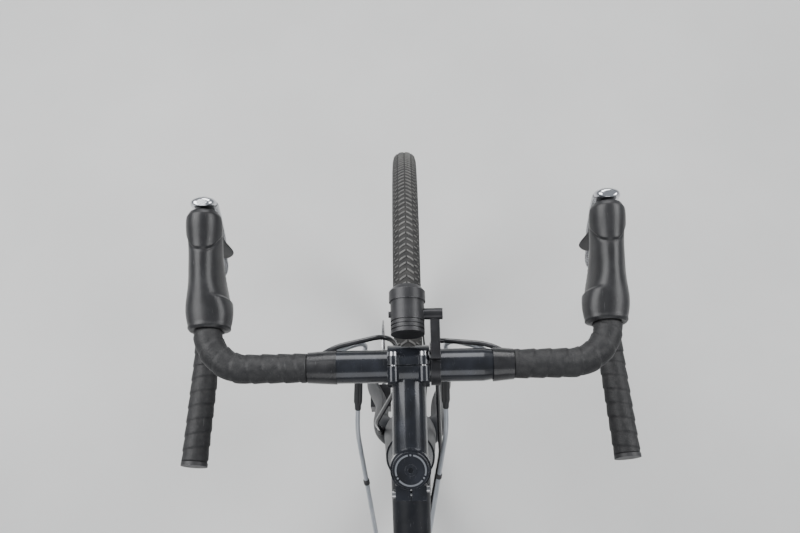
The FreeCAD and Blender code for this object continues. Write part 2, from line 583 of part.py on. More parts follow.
# ---------------------------------------------------------------- handlebar, tape and hoods
BEND = V(192, 0, 0)        # corner between the tops and the ramps, from the bar's middle
BROW = V(200, 80, 2)       # corner above the hooks
HOOK = V(223, 76, -128)
END = V(232, -70, -128)
BEND_RAD, BROW_RAD, HOOK_RAD = 40.0, 40.0, 50.0


def flip(v):
    return V(-v.x, v.y, v.z)


right_run = [BAR + p for p in (BEND, BROW, HOOK, END)]
left_run = [BAR + flip(p) for p in (END, HOOK, BROW, BEND)]
bar_path = route(left_run + right_run, [HOOK_RAD, BROW_RAD, BEND_RAD, BEND_RAD, BROW_RAD, HOOK_RAD])
bar_solid = sweep(bar_path, BAR_R)
BULGE, BULGE_END = 72.0, 98.0
bulge = [rod(BAR - X * BULGE, BAR + X * BULGE, CLAMP_R),
         cone(BAR + X * BULGE, BAR + X * BULGE_END, CLAMP_R, BAR_R),
         cone(BAR - X * BULGE, BAR - X * BULGE_END, CLAMP_R, BAR_R)]
bulge = [b.cut(rod(BAR - X * 110, BAR + X * 110, BAR_R - 0.9)) for b in bulge]
handlebar = join(sweep(bar_path, BAR_R, BAR_BORE), *bulge)
bar_solid = join(bar_solid, *[rod(BAR - X * BULGE, BAR + X * BULGE, CLAMP_R),
                              cone(BAR + X * BULGE, BAR + X * BULGE_END, CLAMP_R, BAR_R),
                              cone(BAR - X * BULGE, BAR - X * BULGE_END, CLAMP_R, BAR_R)])


def wrapped(first_x):
    """The outside of the tape on the right: over the tops to the hood, and from the hood to the bar end."""
    ramp = unit(BROW - BEND)
    top = route([BAR + X * first_x, BAR + BEND, BAR + BEND + ramp * (BEND_RAD - 0.5)], [BEND_RAD])
    fall = unit(HOOK - BROW)
    low = route([BAR + BROW + fall * (BROW_RAD - 0.5), BAR + HOOK, BAR + END], [HOOK_RAD])
    return [sweep(top, BAR_R + TAPE), sweep(low, BAR_R + TAPE)]


wrap_right = wrapped(BARE_RIGHT + FINISH_RIGHT)
tape_right = [w.cut(bar_solid) for w in wrap_right]
tape_left = [mirror(w.cut(bar_solid)) for w in wrapped(BARE_LEFT + FINISH_LEFT)]


def finishing(x1, width, side):
    band = cone(BAR + X * x1 * side, BAR + X * (x1 + width) * side, CLAMP_R + 0.8, BAR_R + TAPE + 0.4)
    return band.cut(bar_solid)


finish = [finishing(BARE_RIGHT, FINISH_RIGHT, 1), finishing(BARE_LEFT, FINISH_LEFT, -1)]
end_dir = unit(END - HOOK)
plug = join(rod(BAR + END, BAR + END + end_dir * 4, BAR_R + TAPE),
            rod(BAR + END - end_dir * 18, BAR + END, BAR_BORE))
save("bar_plugs", plug, mirror(plug))

# Hood outline: distance ahead, bottom, top, half width, sideways centre
HOOD = ((38.5, -16.5, 17.5, 18.3, 196), (50, -20, 20, 21.2, 196.4), (64, -27, 23, 22.0, 197.6),
        (82, -40, 27, 19.6, 199.4), (100, -27, 31, 17.6, 200), (118, -13, 35.5, 16.8, 200),
        (136, -2, 41, 17.4, 200), (148, 5, 43.5, 16.6, 200), (152, 9, 43, 15.2, 200))
PIVOT = BAR + V(199, 146, 8)
hood = loft([oval(BAR + V(x, y, (lo + hi) / 2), w, (hi - lo) / 2, V(0, 1, 0)) for y, lo, hi, w, x in HOOD])
SLOT = 7.6
brow_bar = sweep(route([BAR + BEND + unit(BROW - BEND) * (BEND_RAD - 3), BAR + BROW,
                        BAR + BROW + unit(HOOK - BROW) * (BROW_RAD + 30)], [BROW_RAD]), BAR_R)
for solid in [brow_bar] + wrap_right:
    hood = hood.cut(solid)
hood = hood.cut(block(PIVOT + V(0, 12, -4), (2 * SLOT, 40, 36)))
PIN_R = 2.5
hood_right = join(hood, rod(PIVOT - X * 11, PIVOT + X * 11, PIN_R))
save("hood_right", hood_right)
save("hood_left", mirror(hood_right))

# Brake lever blade: height, ahead, half width, half thickness, sideways centre
BLADE = ((45, 157.5, 5, 3.4, 199.5), (42.5, 158.8, 10, 5.4, 199.5), (36, 160.2, 13, 7.0, 199.5),
         (22, 160.6, 13, 7.0, 199.5), (4, 160, 11.5, 5.6, 199.5), (-20, 160.5, 9.5, 4.2, 200.5),
         (-60, 159, 8.2, 3.8, 204), (-94, 151, 7.6, 3.4, 208), (-114, 142, 7, 3.0, 211),
         (-119, 139, 4, 1.8, 211.5))
blade = loft([oval(BAR + V(x, y, z), w, t) for z, y, w, t, x in BLADE])
knuckle = join(rod(PIVOT - X * (SLOT - GAP), PIVOT + X * (SLOT - GAP), 7.0),
               block(PIVOT + V(0, 6, 0), (2 * (SLOT - GAP), 13, 12)))
PADDLE_AT = BAR + V(199.5, 150, -13)
paddle_pin = rod(PADDLE_AT - V(0, 5, 0), PADDLE_AT + V(0, 8, 0), 2.0)
blade = join(blade, knuckle, paddle_pin).cut(rod(PIVOT - X * 9, PIVOT + X * 9, PIN_R + RUN))
paddle_axle = rod(PADDLE_AT - V(0, 9, 0), PADDLE_AT + V(0, 9, 0), 2.0)
blade = blade.cut(block(PADDLE_AT + V(0, -1, -3), (30, 5.4, 22)).cut(paddle_axle))
save("brake_lever_right", blade)
save("brake_lever_left", mirror(blade))
# Shift paddle behind the blade: height, half width, sideways centre
PADDLE = ((-8, 5, 199.5), (-14, 6, 199.5), (-34, 5.5, 198), (-58, 8, 197.5), (-76, 8.5, 199), (-84, 5, 200.5))
paddle = loft([oval(BAR + V(x, 149.2, z), w, 1.9) for z, w, x in PADDLE])
paddle = paddle.cut(rod(PADDLE_AT - V(0, 9, 0), PADDLE_AT + V(0, 9, 0), 2.0 + RUN))
save("shift_paddle_right", paddle)
save("shift_paddle_left", mirror(paddle))

# ---------------------------------------------------------------- hoses and housings
INSIDE = 3.2               # each line's height from the bar's centre line


def from_lever(side, up, exit_x, *after):
    """A line from inside the ramp, round the bend, along the tops and out through the bar's front wall."""
    ramp = unit(BROW - BEND)
    pts = [BEND + ramp * (BEND_RAD + 14), BEND, V(exit_x, 0, 0), V(exit_x - 33, 19.5, 0)]
    pts = [BAR + V(p.x * side, p.y, p.z + up) for p in pts]
    return pts + list(after)


front_hose = sweep(route(from_lever(-1, INSIDE, 104, BAR + V(-14, 35, -7.5), BAR + V(-9, 5, -88.5),
                                    RACE + V(-38, 8, 38.5), steer(-25, 0, -33)),
                         [BEND_RAD, 30, 60, 25, 45, 30]), HOSE_R)
CABLE_IN = DT_TOP + DT_DIR * 300
rear_points = from_lever(1, INSIDE, 112, BAR + V(22, 28, -7.5), BAR + V(30, 12, -88.5),
                         RACE + V(35, -22, 3.5), CABLE_IN + V(-7, 0, 0), BB + V(-6, 62, 66),
                         BB + V(-20, 60, -8), BB + V(-27, -20, -36), BB + V(-29, -102, 0),
                         REAR + V(-74, 84, -27), REAR + V(-62, 66, -14))
rear_hose = sweep(route(rear_points, [BEND_RAD, 30, 60, 15, 60, 60, 100, 22, 25, 40, 90, 8]), HOSE_R)
right_line = from_lever(1, -INSIDE, 100, BAR + V(38, 30, -14.5), BAR + V(38, 16, -72.5),
                        RACE + V(39, -10, 93.5), CABLE_IN, BB + V(8, 62, 64), BB + V(20, 52, -10),
                        BB + V(27, -20, -36), BB + V(29, -102, -2), REAR + V(72, 100, -28),
                        REAR + V(84, 36, -28))
LEFT_IN = CABLE_IN + V(-12, 0, 0) + DT_UP * 9
left_line = from_lever(-1, -INSIDE, 96, BAR + V(-40, 30, -14.5), BAR + V(-52, 16, -72.5),
                       RACE + V(-56, -10, 93.5), RACE + V(-36, -144, -66.5), LEFT_IN,
                       LEFT_IN + DT_DIR * 140)
right_housing = sweep(route(right_line, [BEND_RAD, 30, 40, 18, 40, 60, 100, 22, 25, 40, 90]), HOSE_R)
left_housing = sweep(route(left_line, [BEND_RAD, 30, 40, 18, 40, 80, 60]), HOSE_R)
lines = [front_hose, rear_hose, right_housing, left_housing]
save("front_brake_hose", front_hose)
save("rear_brake_hose", rear_hose)
save("shift_housings", right_housing, left_housing)


def clear_of(shape, cutters):
    for c in cutters:
        shape = shape.cut(c)
    return shape


save("handlebar", clear_of(handlebar, lines))
save("bar_tape_right", *[clear_of(t, lines) for t in tape_right])
save("bar_tape_left", *[clear_of(t, lines) for t in tape_left])
save("finishing_tape", *[clear_of(f, lines) for f in finish])
save("down_tube", clear_of(down_tube, lines))
fork = clear_of(fork, [front_hose])
save("fork", fork)

# ---------------------------------------------------------------- lamp
LAMP_R = 16.2
LAMP = V(0, BAR.y + 24, BAR.z + 26)
lamp = join(rod(LAMP, LAMP + V(0, 40, 0), LAMP_R), rod(LAMP + V(0, 32, 0), LAMP + V(0, 42, 0), LAMP_R + 1.3),
            cone(LAMP + V(0, 42, 0), LAMP + V(0, 47, 0), LAMP_R + 1.3, LAMP_R - 3))
for k in (3, 7, 11):
    lamp = lamp.cut(rod(LAMP + V(0, k, 0), LAMP + V(0, k + 1.6, 0), LAMP_R + 1, LAMP_R - 1.2))
lamp = lamp.cut(rod(LAMP + V(0, 44, 0), LAMP + V(0, 48, 0), LAMP_R - 4.5))
lamp = join(lamp, rod(LAMP + V(-LAMP_R - 2, 20, 0), LAMP + V(-LAMP_R + 3, 20, 0), 3.0))
save("lamp", lamp)
BAND_X = (CLAMP_HALF + 1.5, CLAMP_HALF + 10.5)
clip = join(rod(BAR + X * BAND_X[0], BAR + X * BAND_X[1], CLAMP_R + 3.2),
            block(V(sum(BAND_X) / 2, BAR.y + 21, BAR.z + 22), (9, 42, 11)),
            rod(V(LAMP_R - 2, LAMP.y + 20, LAMP.z), V(BAND_X[1] + 3, LAMP.y + 20, LAMP.z), 5.5))
clip = clip.cut(rod(LAMP - V(0, 10, 0), LAMP + V(0, 60, 0), LAMP_R)).cut(
    rod(BAR - X * 60, BAR + X * 60, CLAMP_R))
save("lamp_bracket", clear_of(clip, lines))

# ---------------------------------------------------------------- brakes and derailleurs
def caliper(box_centre, size, foot_centre, foot_size, axle_at, x, others):
    body = join(block(box_centre, size), block(foot_centre, foot_size))
    body = body.cut(across(axle_at, ROTOR_R + 1.5, x - ROTOR_T / 2 - GAP, x + ROTOR_T / 2 + GAP))
    return clear_of(body, others)


front_caliper = caliper(FRONT + V(-43, -57, 55), (30, 34, 40), FRONT + V(-53, -36, 62), (10, 26, 54),
                        FRONT, FRONT_ROTOR_X, [fork])
save("front_caliper", front_caliper)
rear_caliper = caliper(REAR + V(-58, 54, 36), (28, 44, 32), REAR + V(-69, 54, 16), (14, 40, 30),
                       REAR, REAR_ROTOR_X, [stays_left, rear_hose])
save("rear_caliper", rear_caliper)
save("stays_left", clear_of(stays_left, [rear_hose]))
save("stays_right", clear_of(stays_right, [right_housing]))

FD_R = pitch_r(RING_BIG) + 5.5
fd_z = BB.z + 124
band_at = BB + SEAT * 150
fd_cage = [Part.makeBox(1.4, 96, 38, V(x, BB.y - 100, fd_z - 38)) for x in (COG_X - 7.2, COG_X + 4.6)]
fd_cage.append(Part.makeBox(13.2, 12, 2.0, V(COG_X - 7.2, BB.y - 54, fd_z - 2)))
fd_cage.append(Part.makeBox(13.2, 3, 10, V(COG_X - 7.2, BB.y - 100, fd_z - 10)))
fd_body = block(V(COG_X - 20, band_at.y - 4, fd_z + 6), (30, 30, 18))
fd = join(rod(band_at - SEAT * 9, band_at + SEAT * 9, SEAT_R + 3), fd_body, *fd_cage)
fd = fd.cut(rod(BB, SEAT_TOP, SEAT_R)).cut(across(BB, FD_R, 0, 100))
save("front_derailleur", fd)

PULLEY_T = 1.6
KNUCKLE_X = COG_X + 5.6
rd = join(across(HANGER, 11.0, DROP_OUT, DROP_OUT + 14), across(GUIDE, 11.0, KNUCKLE_X, DROP_OUT - 1),
          plate([(HANGER, 9.0), (GUIDE, 9.0)], DROP_OUT + 1, DROP_OUT + 12).common(
              Part.makeBox(40, 200, 200, V(DROP_OUT, REAR.y - 100, GUIDE.z - 20))),
          across(GUIDE, 9.0, DROP_OUT - 2, DROP_OUT + 6),
          across(HANGER, 5.0, DROP_IN + 1, DROP_OUT + 1))
save("rear_derailleur", clear_of(rd, [right_housing]))
cage_plates = [plate([(GUIDE, 9.0), (TENSION, 9.0)], x, x + 1.4) for x in (COG_X - 5.0, COG_X + 3.6)]
cage_pins = [across(c, 2.5, COG_X - 5.0, COG_X + 5.0) for c in (GUIDE, TENSION)]
save("derailleur_cage", join(*cage_plates, *cage_pins))
for name, centre in (("guide_pulley", GUIDE), ("tension_pulley", TENSION)):
    save(name, sprocket(centre, JOCKEY, COG_X, PULLEY_T, 2.5 + RUN))
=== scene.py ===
# %% [markdown]
# # A road bicycle, looked at from above its handlebar
# This lesson dresses a CAD bicycle for a picture. The CAD supplies every hard part at its true size, in
# metres, with +Y forward, +X to the rider's right and +Z up. Here we choose the camera and light, give
# each surface a procedural material, and build the soft and repeating things that CAD leaves plain:
# tread, chain, tape, padding.

# %% Start: load the CAD frame
import math
import bpy
import numpy as np
from mathutils import Matrix, Vector


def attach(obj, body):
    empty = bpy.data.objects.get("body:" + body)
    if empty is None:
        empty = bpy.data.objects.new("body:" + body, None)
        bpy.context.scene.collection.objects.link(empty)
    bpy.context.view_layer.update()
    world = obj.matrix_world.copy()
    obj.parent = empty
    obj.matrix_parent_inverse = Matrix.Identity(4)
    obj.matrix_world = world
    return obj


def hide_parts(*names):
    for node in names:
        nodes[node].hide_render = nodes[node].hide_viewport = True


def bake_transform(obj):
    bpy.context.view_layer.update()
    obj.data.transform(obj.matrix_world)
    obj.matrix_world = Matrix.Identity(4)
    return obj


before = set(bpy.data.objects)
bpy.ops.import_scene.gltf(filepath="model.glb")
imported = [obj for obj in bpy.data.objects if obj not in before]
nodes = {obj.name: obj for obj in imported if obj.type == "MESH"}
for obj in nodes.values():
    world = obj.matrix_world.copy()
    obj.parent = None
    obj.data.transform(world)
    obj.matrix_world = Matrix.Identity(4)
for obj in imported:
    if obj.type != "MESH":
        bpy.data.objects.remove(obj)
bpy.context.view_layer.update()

# %% [markdown]
# ## The camera
# The view is that of a rider who has just stopped: the eye sits above the top tube and looks steeply
# down at the stem, with both brake hoods and the front tyre beyond. A slight roll keeps it from looking
# staged.

# %% Camera
EYE = Vector((0.0003, 0.1683, 1.7412))
PITCH, YAW, ROLL = math.radians(69.745), math.radians(-1.24), math.radians(-2.4)
look = Vector((math.sin(YAW) * math.cos(PITCH), math.cos(YAW) * math.cos(PITCH), -math.sin(PITCH)))
side = look.cross(Vector((0, 0, 1))).normalized()
lift = side.cross(look)
right = side * math.cos(ROLL) + lift * math.sin(ROLL)
top = lift * math.cos(ROLL) - side * math.sin(ROLL)
lens = bpy.data.cameras.new("camera")
lens.sensor_width, lens.lens, lens.clip_start = 36.0, 40.17, 0.01
camera = bpy.data.objects.new("camera", lens)
stance = Matrix((right, top, -look)).transposed().to_4x4()
camera.matrix_world = Matrix.Translation(EYE) @ stance
bpy.context.scene.collection.objects.link(camera)
bpy.context.scene.camera = camera
print("camera height", round(EYE.z, 3), "m, lens", lens.lens, "mm")

# %% [markdown]
# ## Studio
# A pale floor and large soft lamps. Black objects show themselves only by what they reflect, so the
# lamps are wide: each one draws a long, soft highlight down a tube and tells the eye how round it is.

# %% Floor and lights
FLOOR_HALF, FLOOR_Z = 30, -0.0005     # half width, and a height just under the tyres, in metres
plane = bpy.data.meshes.new("floor")
corners = [(x * FLOOR_HALF, y * FLOOR_HALF, FLOOR_Z) for x, y in ((-1, -1), (1, -1), (1, 1), (-1, 1))]
plane.from_pydata(corners, [], [(0, 1, 2, 3)])
floor = bpy.data.objects.new("floor", plane)
bpy.context.scene.collection.objects.link(floor)
world = bpy.data.worlds.new("studio")
bpy.context.scene.world = world
world.use_nodes = True
sky = world.node_tree.nodes["Background"]
sky.inputs["Color"].default_value = (0.80, 0.84, 0.90, 1)
sky.inputs["Strength"].default_value = 0.42
for name, spot, aim, size, watts in (("key", (-1.7, 0.9, 2.5), (0, 0.3, 0.8), 1.9, 75),
                                     ("fill", (2.0, 0.7, 2.3), (0, 0.3, 0.8), 1.3, 42),
                                     ("front", (0.1, 3.0, 2.5), (0, 0.3, 0.8), 1.8, 55),
                                     ("back", (0.2, -2.8, 2.0), (0, 0, 0.6), 2.2, 30)):
    lamp_data = bpy.data.lights.new(name, "AREA")
    lamp_data.size, lamp_data.energy = size, watts
    light = bpy.data.objects.new(name, lamp_data)
    light.location = spot
    light.rotation_euler = (Vector(aim) - Vector(spot)).to_track_quat("-Z", "Y").to_euler()
    bpy.context.scene.collection.objects.link(light)

# %% [markdown]
# ## Tools for materials
# A shader group is a small machine with labelled inputs. We write two helpers, one that adds a node and
# fills its sockets, one that opens a new group, and then every finish below reads as a short recipe.


# %% Helpers for shader trees
def add(tree, kind, settings=None, **values):
    """A new shader node. i0, i1 and so on fill a socket by its number, any other word by its label."""
    n = tree.nodes.new("ShaderNode" + kind)
    for key, value in (settings or {}).items():
        setattr(n, key, value)
    for key, value in values.items():
        by_number = key[0] == "i" and key[1:].isdigit()
        socket = n.inputs[int(key[1:]) if by_number else key.replace("_", " ")]
        if isinstance(value, bpy.types.NodeSocket):
            tree.links.new(value, socket)
        else:
            socket.default_value = value
    return n


def maths(tree, operation, a, b, clamp=False):
    return add(tree, "Math", {"operation": operation, "use_clamp": clamp}, i0=a, i1=b).outputs[0]


def blend_colour(tree, amount, a, b):
    return add(tree, "Mix", {"data_type": "RGBA"}, i0=amount, i6=a, i7=b).outputs[2]


def ramp(tree, value, low, high):
    """0 where value is low or less, 1 where it is high or more."""
    n = add(tree, "MapRange", {"clamp": True}, Value=value)
    n.inputs["From Min"].default_value, n.inputs["From Max"].default_value = low, high
    return n.outputs[0]


def open_group(name, inputs, outputs):
    tree = bpy.data.node_groups.new(name, "ShaderNodeTree")
    for label, kind, default in inputs:
        socket = tree.interface.new_socket(label, in_out="INPUT", socket_type="NodeSocket" + kind)
        socket.default_value = default
    for label, kind in outputs:
        tree.interface.new_socket(label, in_out="OUTPUT", socket_type="NodeSocket" + kind)
    return tree, tree.nodes.new("NodeGroupInput").outputs, tree.nodes.new("NodeGroupOutput").inputs


# %% [markdown]
# ### A finish that has been used
# No real surface has one colour or one roughness. This group mixes a slow cloud of tone, fine grain,
# long faint scratches and dust that settles on what faces up. Its colour, roughness and normal go to
# any shader.

# %% Group: used finish
used, i, o = open_group("used_finish",
                        [("Colour", "Color", (0.02, 0.02, 0.02, 1)),
                         ("Tone", "Color", (0.04, 0.04, 0.045, 1)),
                         ("Roughness", "Float", 0.3), ("Spread", "Float", 0.1),
                         ("Scale", "Float", 60.0),
                         ("Grain", "Float", 900.0), ("Bump", "Float", 0.1), ("Dust", "Float", 0.1),
                         ("Scratches", "Float", 0.1)],
                        [("Colour", "Color"), ("Roughness", "Float"), ("Normal", "Vector")])
where = add(used, "TexCoord").outputs["Object"]
cloud = add(used, "TexNoise", Vector=where, Scale=i["Scale"], Detail=4.0).outputs[0]
grain = add(used, "TexNoise", Vector=where, Scale=i["Grain"], Detail=3.0).outputs[0]
long_way = add(used, "Mapping", Vector=where)
long_way.inputs["Scale"].default_value = (90.0, 6.0, 60.0)
long_way.inputs["Rotation"].default_value = (0.4, 0.3, 0.5)
lines = add(used, "TexNoise", Vector=long_way.outputs[0], Scale=9.0, Detail=5.0).outputs[0]
scratch = maths(used, "MULTIPLY", ramp(used, lines, 0.66, 0.72), i["Scratches"])
facing = add(used, "SeparateXYZ", Vector=add(used, "NewGeometry").outputs["Normal"]).outputs[2]
dusty = maths(used, "MULTIPLY", ramp(used, facing, 0.3, 1.0), ramp(used, cloud, 0.45, 0.75))
dusty = maths(used, "MULTIPLY", dusty, i["Dust"], True)
tone = blend_colour(used, ramp(used, cloud, 0.3, 0.7), i["Colour"], i["Tone"])
tone = blend_colour(used, maths(used, "MULTIPLY", dusty, 0.35), tone, (0.20, 0.195, 0.185, 1))
used.links.new(blend_colour(used, scratch, tone, (0.35, 0.35, 0.36, 1)), o["Colour"])
swing = maths(used, "MULTIPLY", maths(used, "SUBTRACT", grain, 0.5), i["Spread"])
rough = maths(used, "ADD", i["Roughness"],
              maths(used, "ADD", swing, maths(used, "MULTIPLY", dusty, 0.4)))
used.links.new(maths(used, "ADD", rough, maths(used, "MULTIPLY", scratch, 0.3), True), o["Roughness"])
height = maths(used, "SUBTRACT", grain, maths(used, "MULTIPLY", scratch, 0.5))
used.links.new(add(used, "Bump", Height=height, Strength=i["Bump"], Distance=0.0004).outputs[0],
               o["Normal"])

# %% [markdown]
# ### Worn edges
# Hands and bags rub corners first. A bevel lookup returns a rounded normal; where it differs from the
# true one there is an edge, and noise breaks that line into chips.

# %% Group: worn edges
edges, i, o = open_group("worn_edges",
                         [("Radius", "Float", 0.0008), ("Scale", "Float", 300.0),
                          ("Amount", "Float", 0.5)],
                         [("Mask", "Float")])
soft = add(edges, "Bevel", {"samples": 3}, Radius=i["Radius"]).outputs[0]
true_way = add(edges, "NewGeometry").outputs["Normal"]
same = add(edges, "VectorMath", {"operation": "DOT_PRODUCT"}, i0=soft, i1=true_way).outputs["Value"]
where = add(edges, "TexCoord").outputs["Object"]
chips = add(edges, "TexNoise", Vector=where, Scale=i["Scale"], Detail=4.0).outputs[0]
corner = ramp(edges, maths(edges, "SUBTRACT", 1.0, same), 0.02, 0.16)
edge = maths(edges, "MULTIPLY", corner, ramp(edges, chips, 0.42, 0.6))
edges.links.new(maths(edges, "MULTIPLY", edge, i["Amount"], True), o["Mask"])


# %% [markdown]
# ### Pebbled skins
# Rubber hoods, bar tape and saddle cover share one idea: small cells with rounded tops. Only the size
# of the cells and the depth between them change.

# %% Group: pebbled skin
pebbles, i, o = open_group("pebbled_skin",
                           [("Cell", "Float", 900.0), ("Depth", "Float", 0.4),
                            ("Normal", "Vector", (0, 0, 0))],
                           [("Height", "Float"), ("Normal", "Vector")])
where = add(pebbles, "TexCoord").outputs["Object"]
cells = add(pebbles, "TexVoronoi", {"feature": "SMOOTH_F1"}, Vector=where,
            Scale=i["Cell"]).outputs["Distance"]
dome = ramp(pebbles, cells, 0.7, 0.1)
pebbles.links.new(dome, o["Height"])
skin = add(pebbles, "Bump", Height=dome, Strength=i["Depth"], Distance=0.0003, Normal=i["Normal"])
pebbles.links.new(skin.outputs[0], o["Normal"])


# %% Function: one material from a recipe
def finish(name, colour, tone, rough, metal=0.0, spread=0.12, scale=60.0, grain=900.0, bump=0.1,
           dust=0.1,
           scratches=0.1, coat=0.0, wear=None, wear_colour=(0.4, 0.4, 0.42, 1), pebble=None, depth=0.4,
           spec=0.5, ior=1.5):
    """A material from the groups above; wear adds worn edges, pebble a pebbled skin."""
    m = bpy.data.materials.new(name)
    m.use_nodes = True
    t = m.node_tree
    shader = t.nodes["Principled BSDF"]
    g = add(t, "Group", {"node_tree": used}, Colour=(*colour, 1), Tone=(*tone, 1), Roughness=rough,
            Spread=spread,
            Scale=scale, Grain=grain, Bump=bump, Dust=dust, Scratches=scratches)
    shown, roughness, normal = g.outputs[0], g.outputs[1], g.outputs[2]
    metallic = None
    if pebble:
        p = add(t, "Group", {"node_tree": pebbles}, Cell=pebble, Depth=depth, Normal=normal)
        normal = p.outputs["Normal"]
        roughness = maths(t, "SUBTRACT", roughness, maths(t, "MULTIPLY", p.outputs["Height"], 0.12),
                          True)
    if wear:
        mask = add(t, "Group", {"node_tree": edges}, Amount=wear).outputs[0]
        shown = blend_colour(t, mask, shown, wear_colour)
        metallic = maths(t, "MAXIMUM", mask, metal)
    t.links.new(shown, shader.inputs["Base Color"])
    t.links.new(roughness, shader.inputs["Roughness"])
    t.links.new(normal, shader.inputs["Normal"])
    shader.inputs["Metallic"].default_value = metal
    if metallic:
        t.links.new(metallic, shader.inputs["Metallic"])
    shader.inputs["Specular IOR Level"].default_value = spec
    shader.inputs["IOR"].default_value = ior
    shader.inputs["Coat Weight"].default_value = coat
    shader.inputs["Coat Roughness"].default_value = 0.06
    return m


# %% [markdown]
# ## The finishes
# One recipe per kind of surface. Paint is dark and satin; alloy is dyed black and shows
# metal at its edges; rubber is rougher and never quite black; chainwork is plated steel with a film of
# oil.

# %% Materials
M = {
    "paint": finish("frame_paint", (0.008, 0.009, 0.011), (0.014, 0.015, 0.019), 0.4, ior=1.25,
                    bump=0.03, dust=0.12,
                    scratches=0.12, wear=0.25, scale=35),
    "gloss_alloy": finish("gloss_alloy", (0.012, 0.013, 0.016), (0.024, 0.027, 0.036), 0.22, 0.4,
                          bump=0.008, dust=0.05,
                          wear=0.3, coat=0.3),
    "alloy": finish("black_alloy", (0.018, 0.018, 0.02), (0.03, 0.03, 0.033), 0.36, 0.55, bump=0.12,
                    wear=0.55),
    "lamp": finish("lamp_shell", (0.02, 0.02, 0.022), (0.03, 0.03, 0.033), 0.42, 0.2, bump=0.2,
                   wear=0.4, dust=0.15),
    "steel": finish("steel", (0.44, 0.44, 0.45), (0.37, 0.37, 0.38), 0.27, 1.0, spread=0.25, bump=0.1,
                    dust=0.03,
                    scratches=0.5),
    "bright": finish("polished_alloy", (0.72, 0.73, 0.75), (0.60, 0.61, 0.64), 0.16, 1.0, spread=0.1,
                     dust=0.05,
                     scratches=0.3, bump=0.03),
    "spoke": finish("black_spoke", (0.02, 0.02, 0.02), (0.05, 0.05, 0.05), 0.35, 0.6, bump=0.05),
    "hood": finish("hood_rubber", (0.016, 0.016, 0.017), (0.026, 0.026, 0.028), 0.4, pebble=1500.0,
                   depth=0.18,
                   dust=0.12, bump=0.1, spec=0.4),
    "tape": finish("bar_tape", (0.013, 0.013, 0.014), (0.024, 0.024, 0.025), 0.6, pebble=800.0,
                   depth=0.6, dust=0.15,
                   bump=0.2, scale=160, spec=0.4),
    "gloss_tape": finish("finishing_tape", (0.010, 0.010, 0.011), (0.02, 0.02, 0.022), 0.22, bump=0.25,
                         grain=500, dust=0.1),
    "tyre": finish("tyre_casing", (0.014, 0.014, 0.014), (0.026, 0.025, 0.024), 0.7, dust=0.4,
                   bump=0.35, scale=90,
                   spread=0.25),
    "tread": finish("tread_rubber", (0.085, 0.084, 0.082), (0.13, 0.128, 0.122), 0.6, dust=0.5,
                    bump=0.35, scale=140,
                    wear=0.5, wear_colour=(0.13, 0.127, 0.12, 1)),
    "plastic": finish("black_plastic", (0.02, 0.02, 0.021), (0.03, 0.03, 0.032), 0.5, bump=0.25,
                      wear=0.25,
                      wear_colour=(0.08, 0.08, 0.08, 1)),
    "housing": finish("grey_housing", (0.33, 0.35, 0.38), (0.42, 0.44, 0.47), 0.3, 0.15, bump=0.06,
                      dust=0.1, coat=0.3),
    "hose": finish("black_hose", (0.02, 0.02, 0.022), (0.04, 0.04, 0.043), 0.2, bump=0.06, coat=0.6),
    "cover": finish("saddle_cover", (0.014, 0.014, 0.015), (0.026, 0.026, 0.028), 0.45, pebble=1100.0,
                    depth=0.3, dust=0.3),
    "thread": finish("saddle_thread", (0.10, 0.10, 0.105), (0.16, 0.16, 0.165), 0.8, bump=0.6,
                     grain=2500),
    "chain": finish("oiled_chain", (0.30, 0.29, 0.28), (0.12, 0.115, 0.11), 0.3, 1.0, spread=0.3,
                    bump=0.15, dust=0.15,
                    scratches=0.4, scale=200),
}
floor_material = finish("pale_floor", (0.62, 0.62, 0.61), (0.68, 0.68, 0.67), 0.75, bump=0.05, dust=0.0,
                        scratches=0.0,
                        scale=3.0, grain=60.0)
floor.data.materials.append(floor_material)
print("materials:", len(M))

# %% [markdown]
# ## Which finish goes where
# Painting is a lookup: each CAD node's name leads to one recipe. Anything later replaced by a richer
# mesh is dressed here too, so nothing is ever left bare.

# %% Dress the CAD nodes
FINISH = {
    "paint": "head_tube top_tube down_tube seat_tube bottom_bracket_shell stays_left stays_right fork",
    "gloss_alloy": "stem stem_faceplate handlebar headset_spacers top_cap crankset seatpost",
    "alloy": "chainrings seat_clamp front_hub rear_hub front_rim rear_rim pedal_left pedal_right "
             "front_derailleur rear_derailleur derailleur_cage rear_caliper front_caliper lamp_bracket "
             "front_axle rear_axle",
    "lamp": "lamp",
    "steel": "headset_bearings stem_screws cassette chain front_rotor rear_rotor saddle_rails",
    "bright": "brake_lever_left brake_lever_right",
    "spoke": "front_spokes rear_spokes",
    "hood": "hood_left hood_right",
    "tape": "bar_tape_left bar_tape_right",
    "gloss_tape": "finishing_tape",
    "tyre": "front_tyre rear_tyre",
    "plastic": "shift_paddle_left shift_paddle_right bar_plugs guide_pulley tension_pulley saddle_shell",
    "housing": "shift_housings",
    "hose": "front_brake_hose rear_brake_hose",
    "cover": "saddle_pad",
}
for key, names in FINISH.items():
    for name in names.split():
        nodes[name].data.materials.clear()
        nodes[name].data.materials.append(M[key])
print("dressed:", sum(len(v.split()) for v in FINISH.values()), "of", len(nodes))

# %% [markdown]
# ## Measures shared with the CAD
# To lay tape on the bar or links on the sprockets we need their centre lines. These few numbers repeat
# the CAD's own: axle places, the steering axis and the corners of the handlebar.

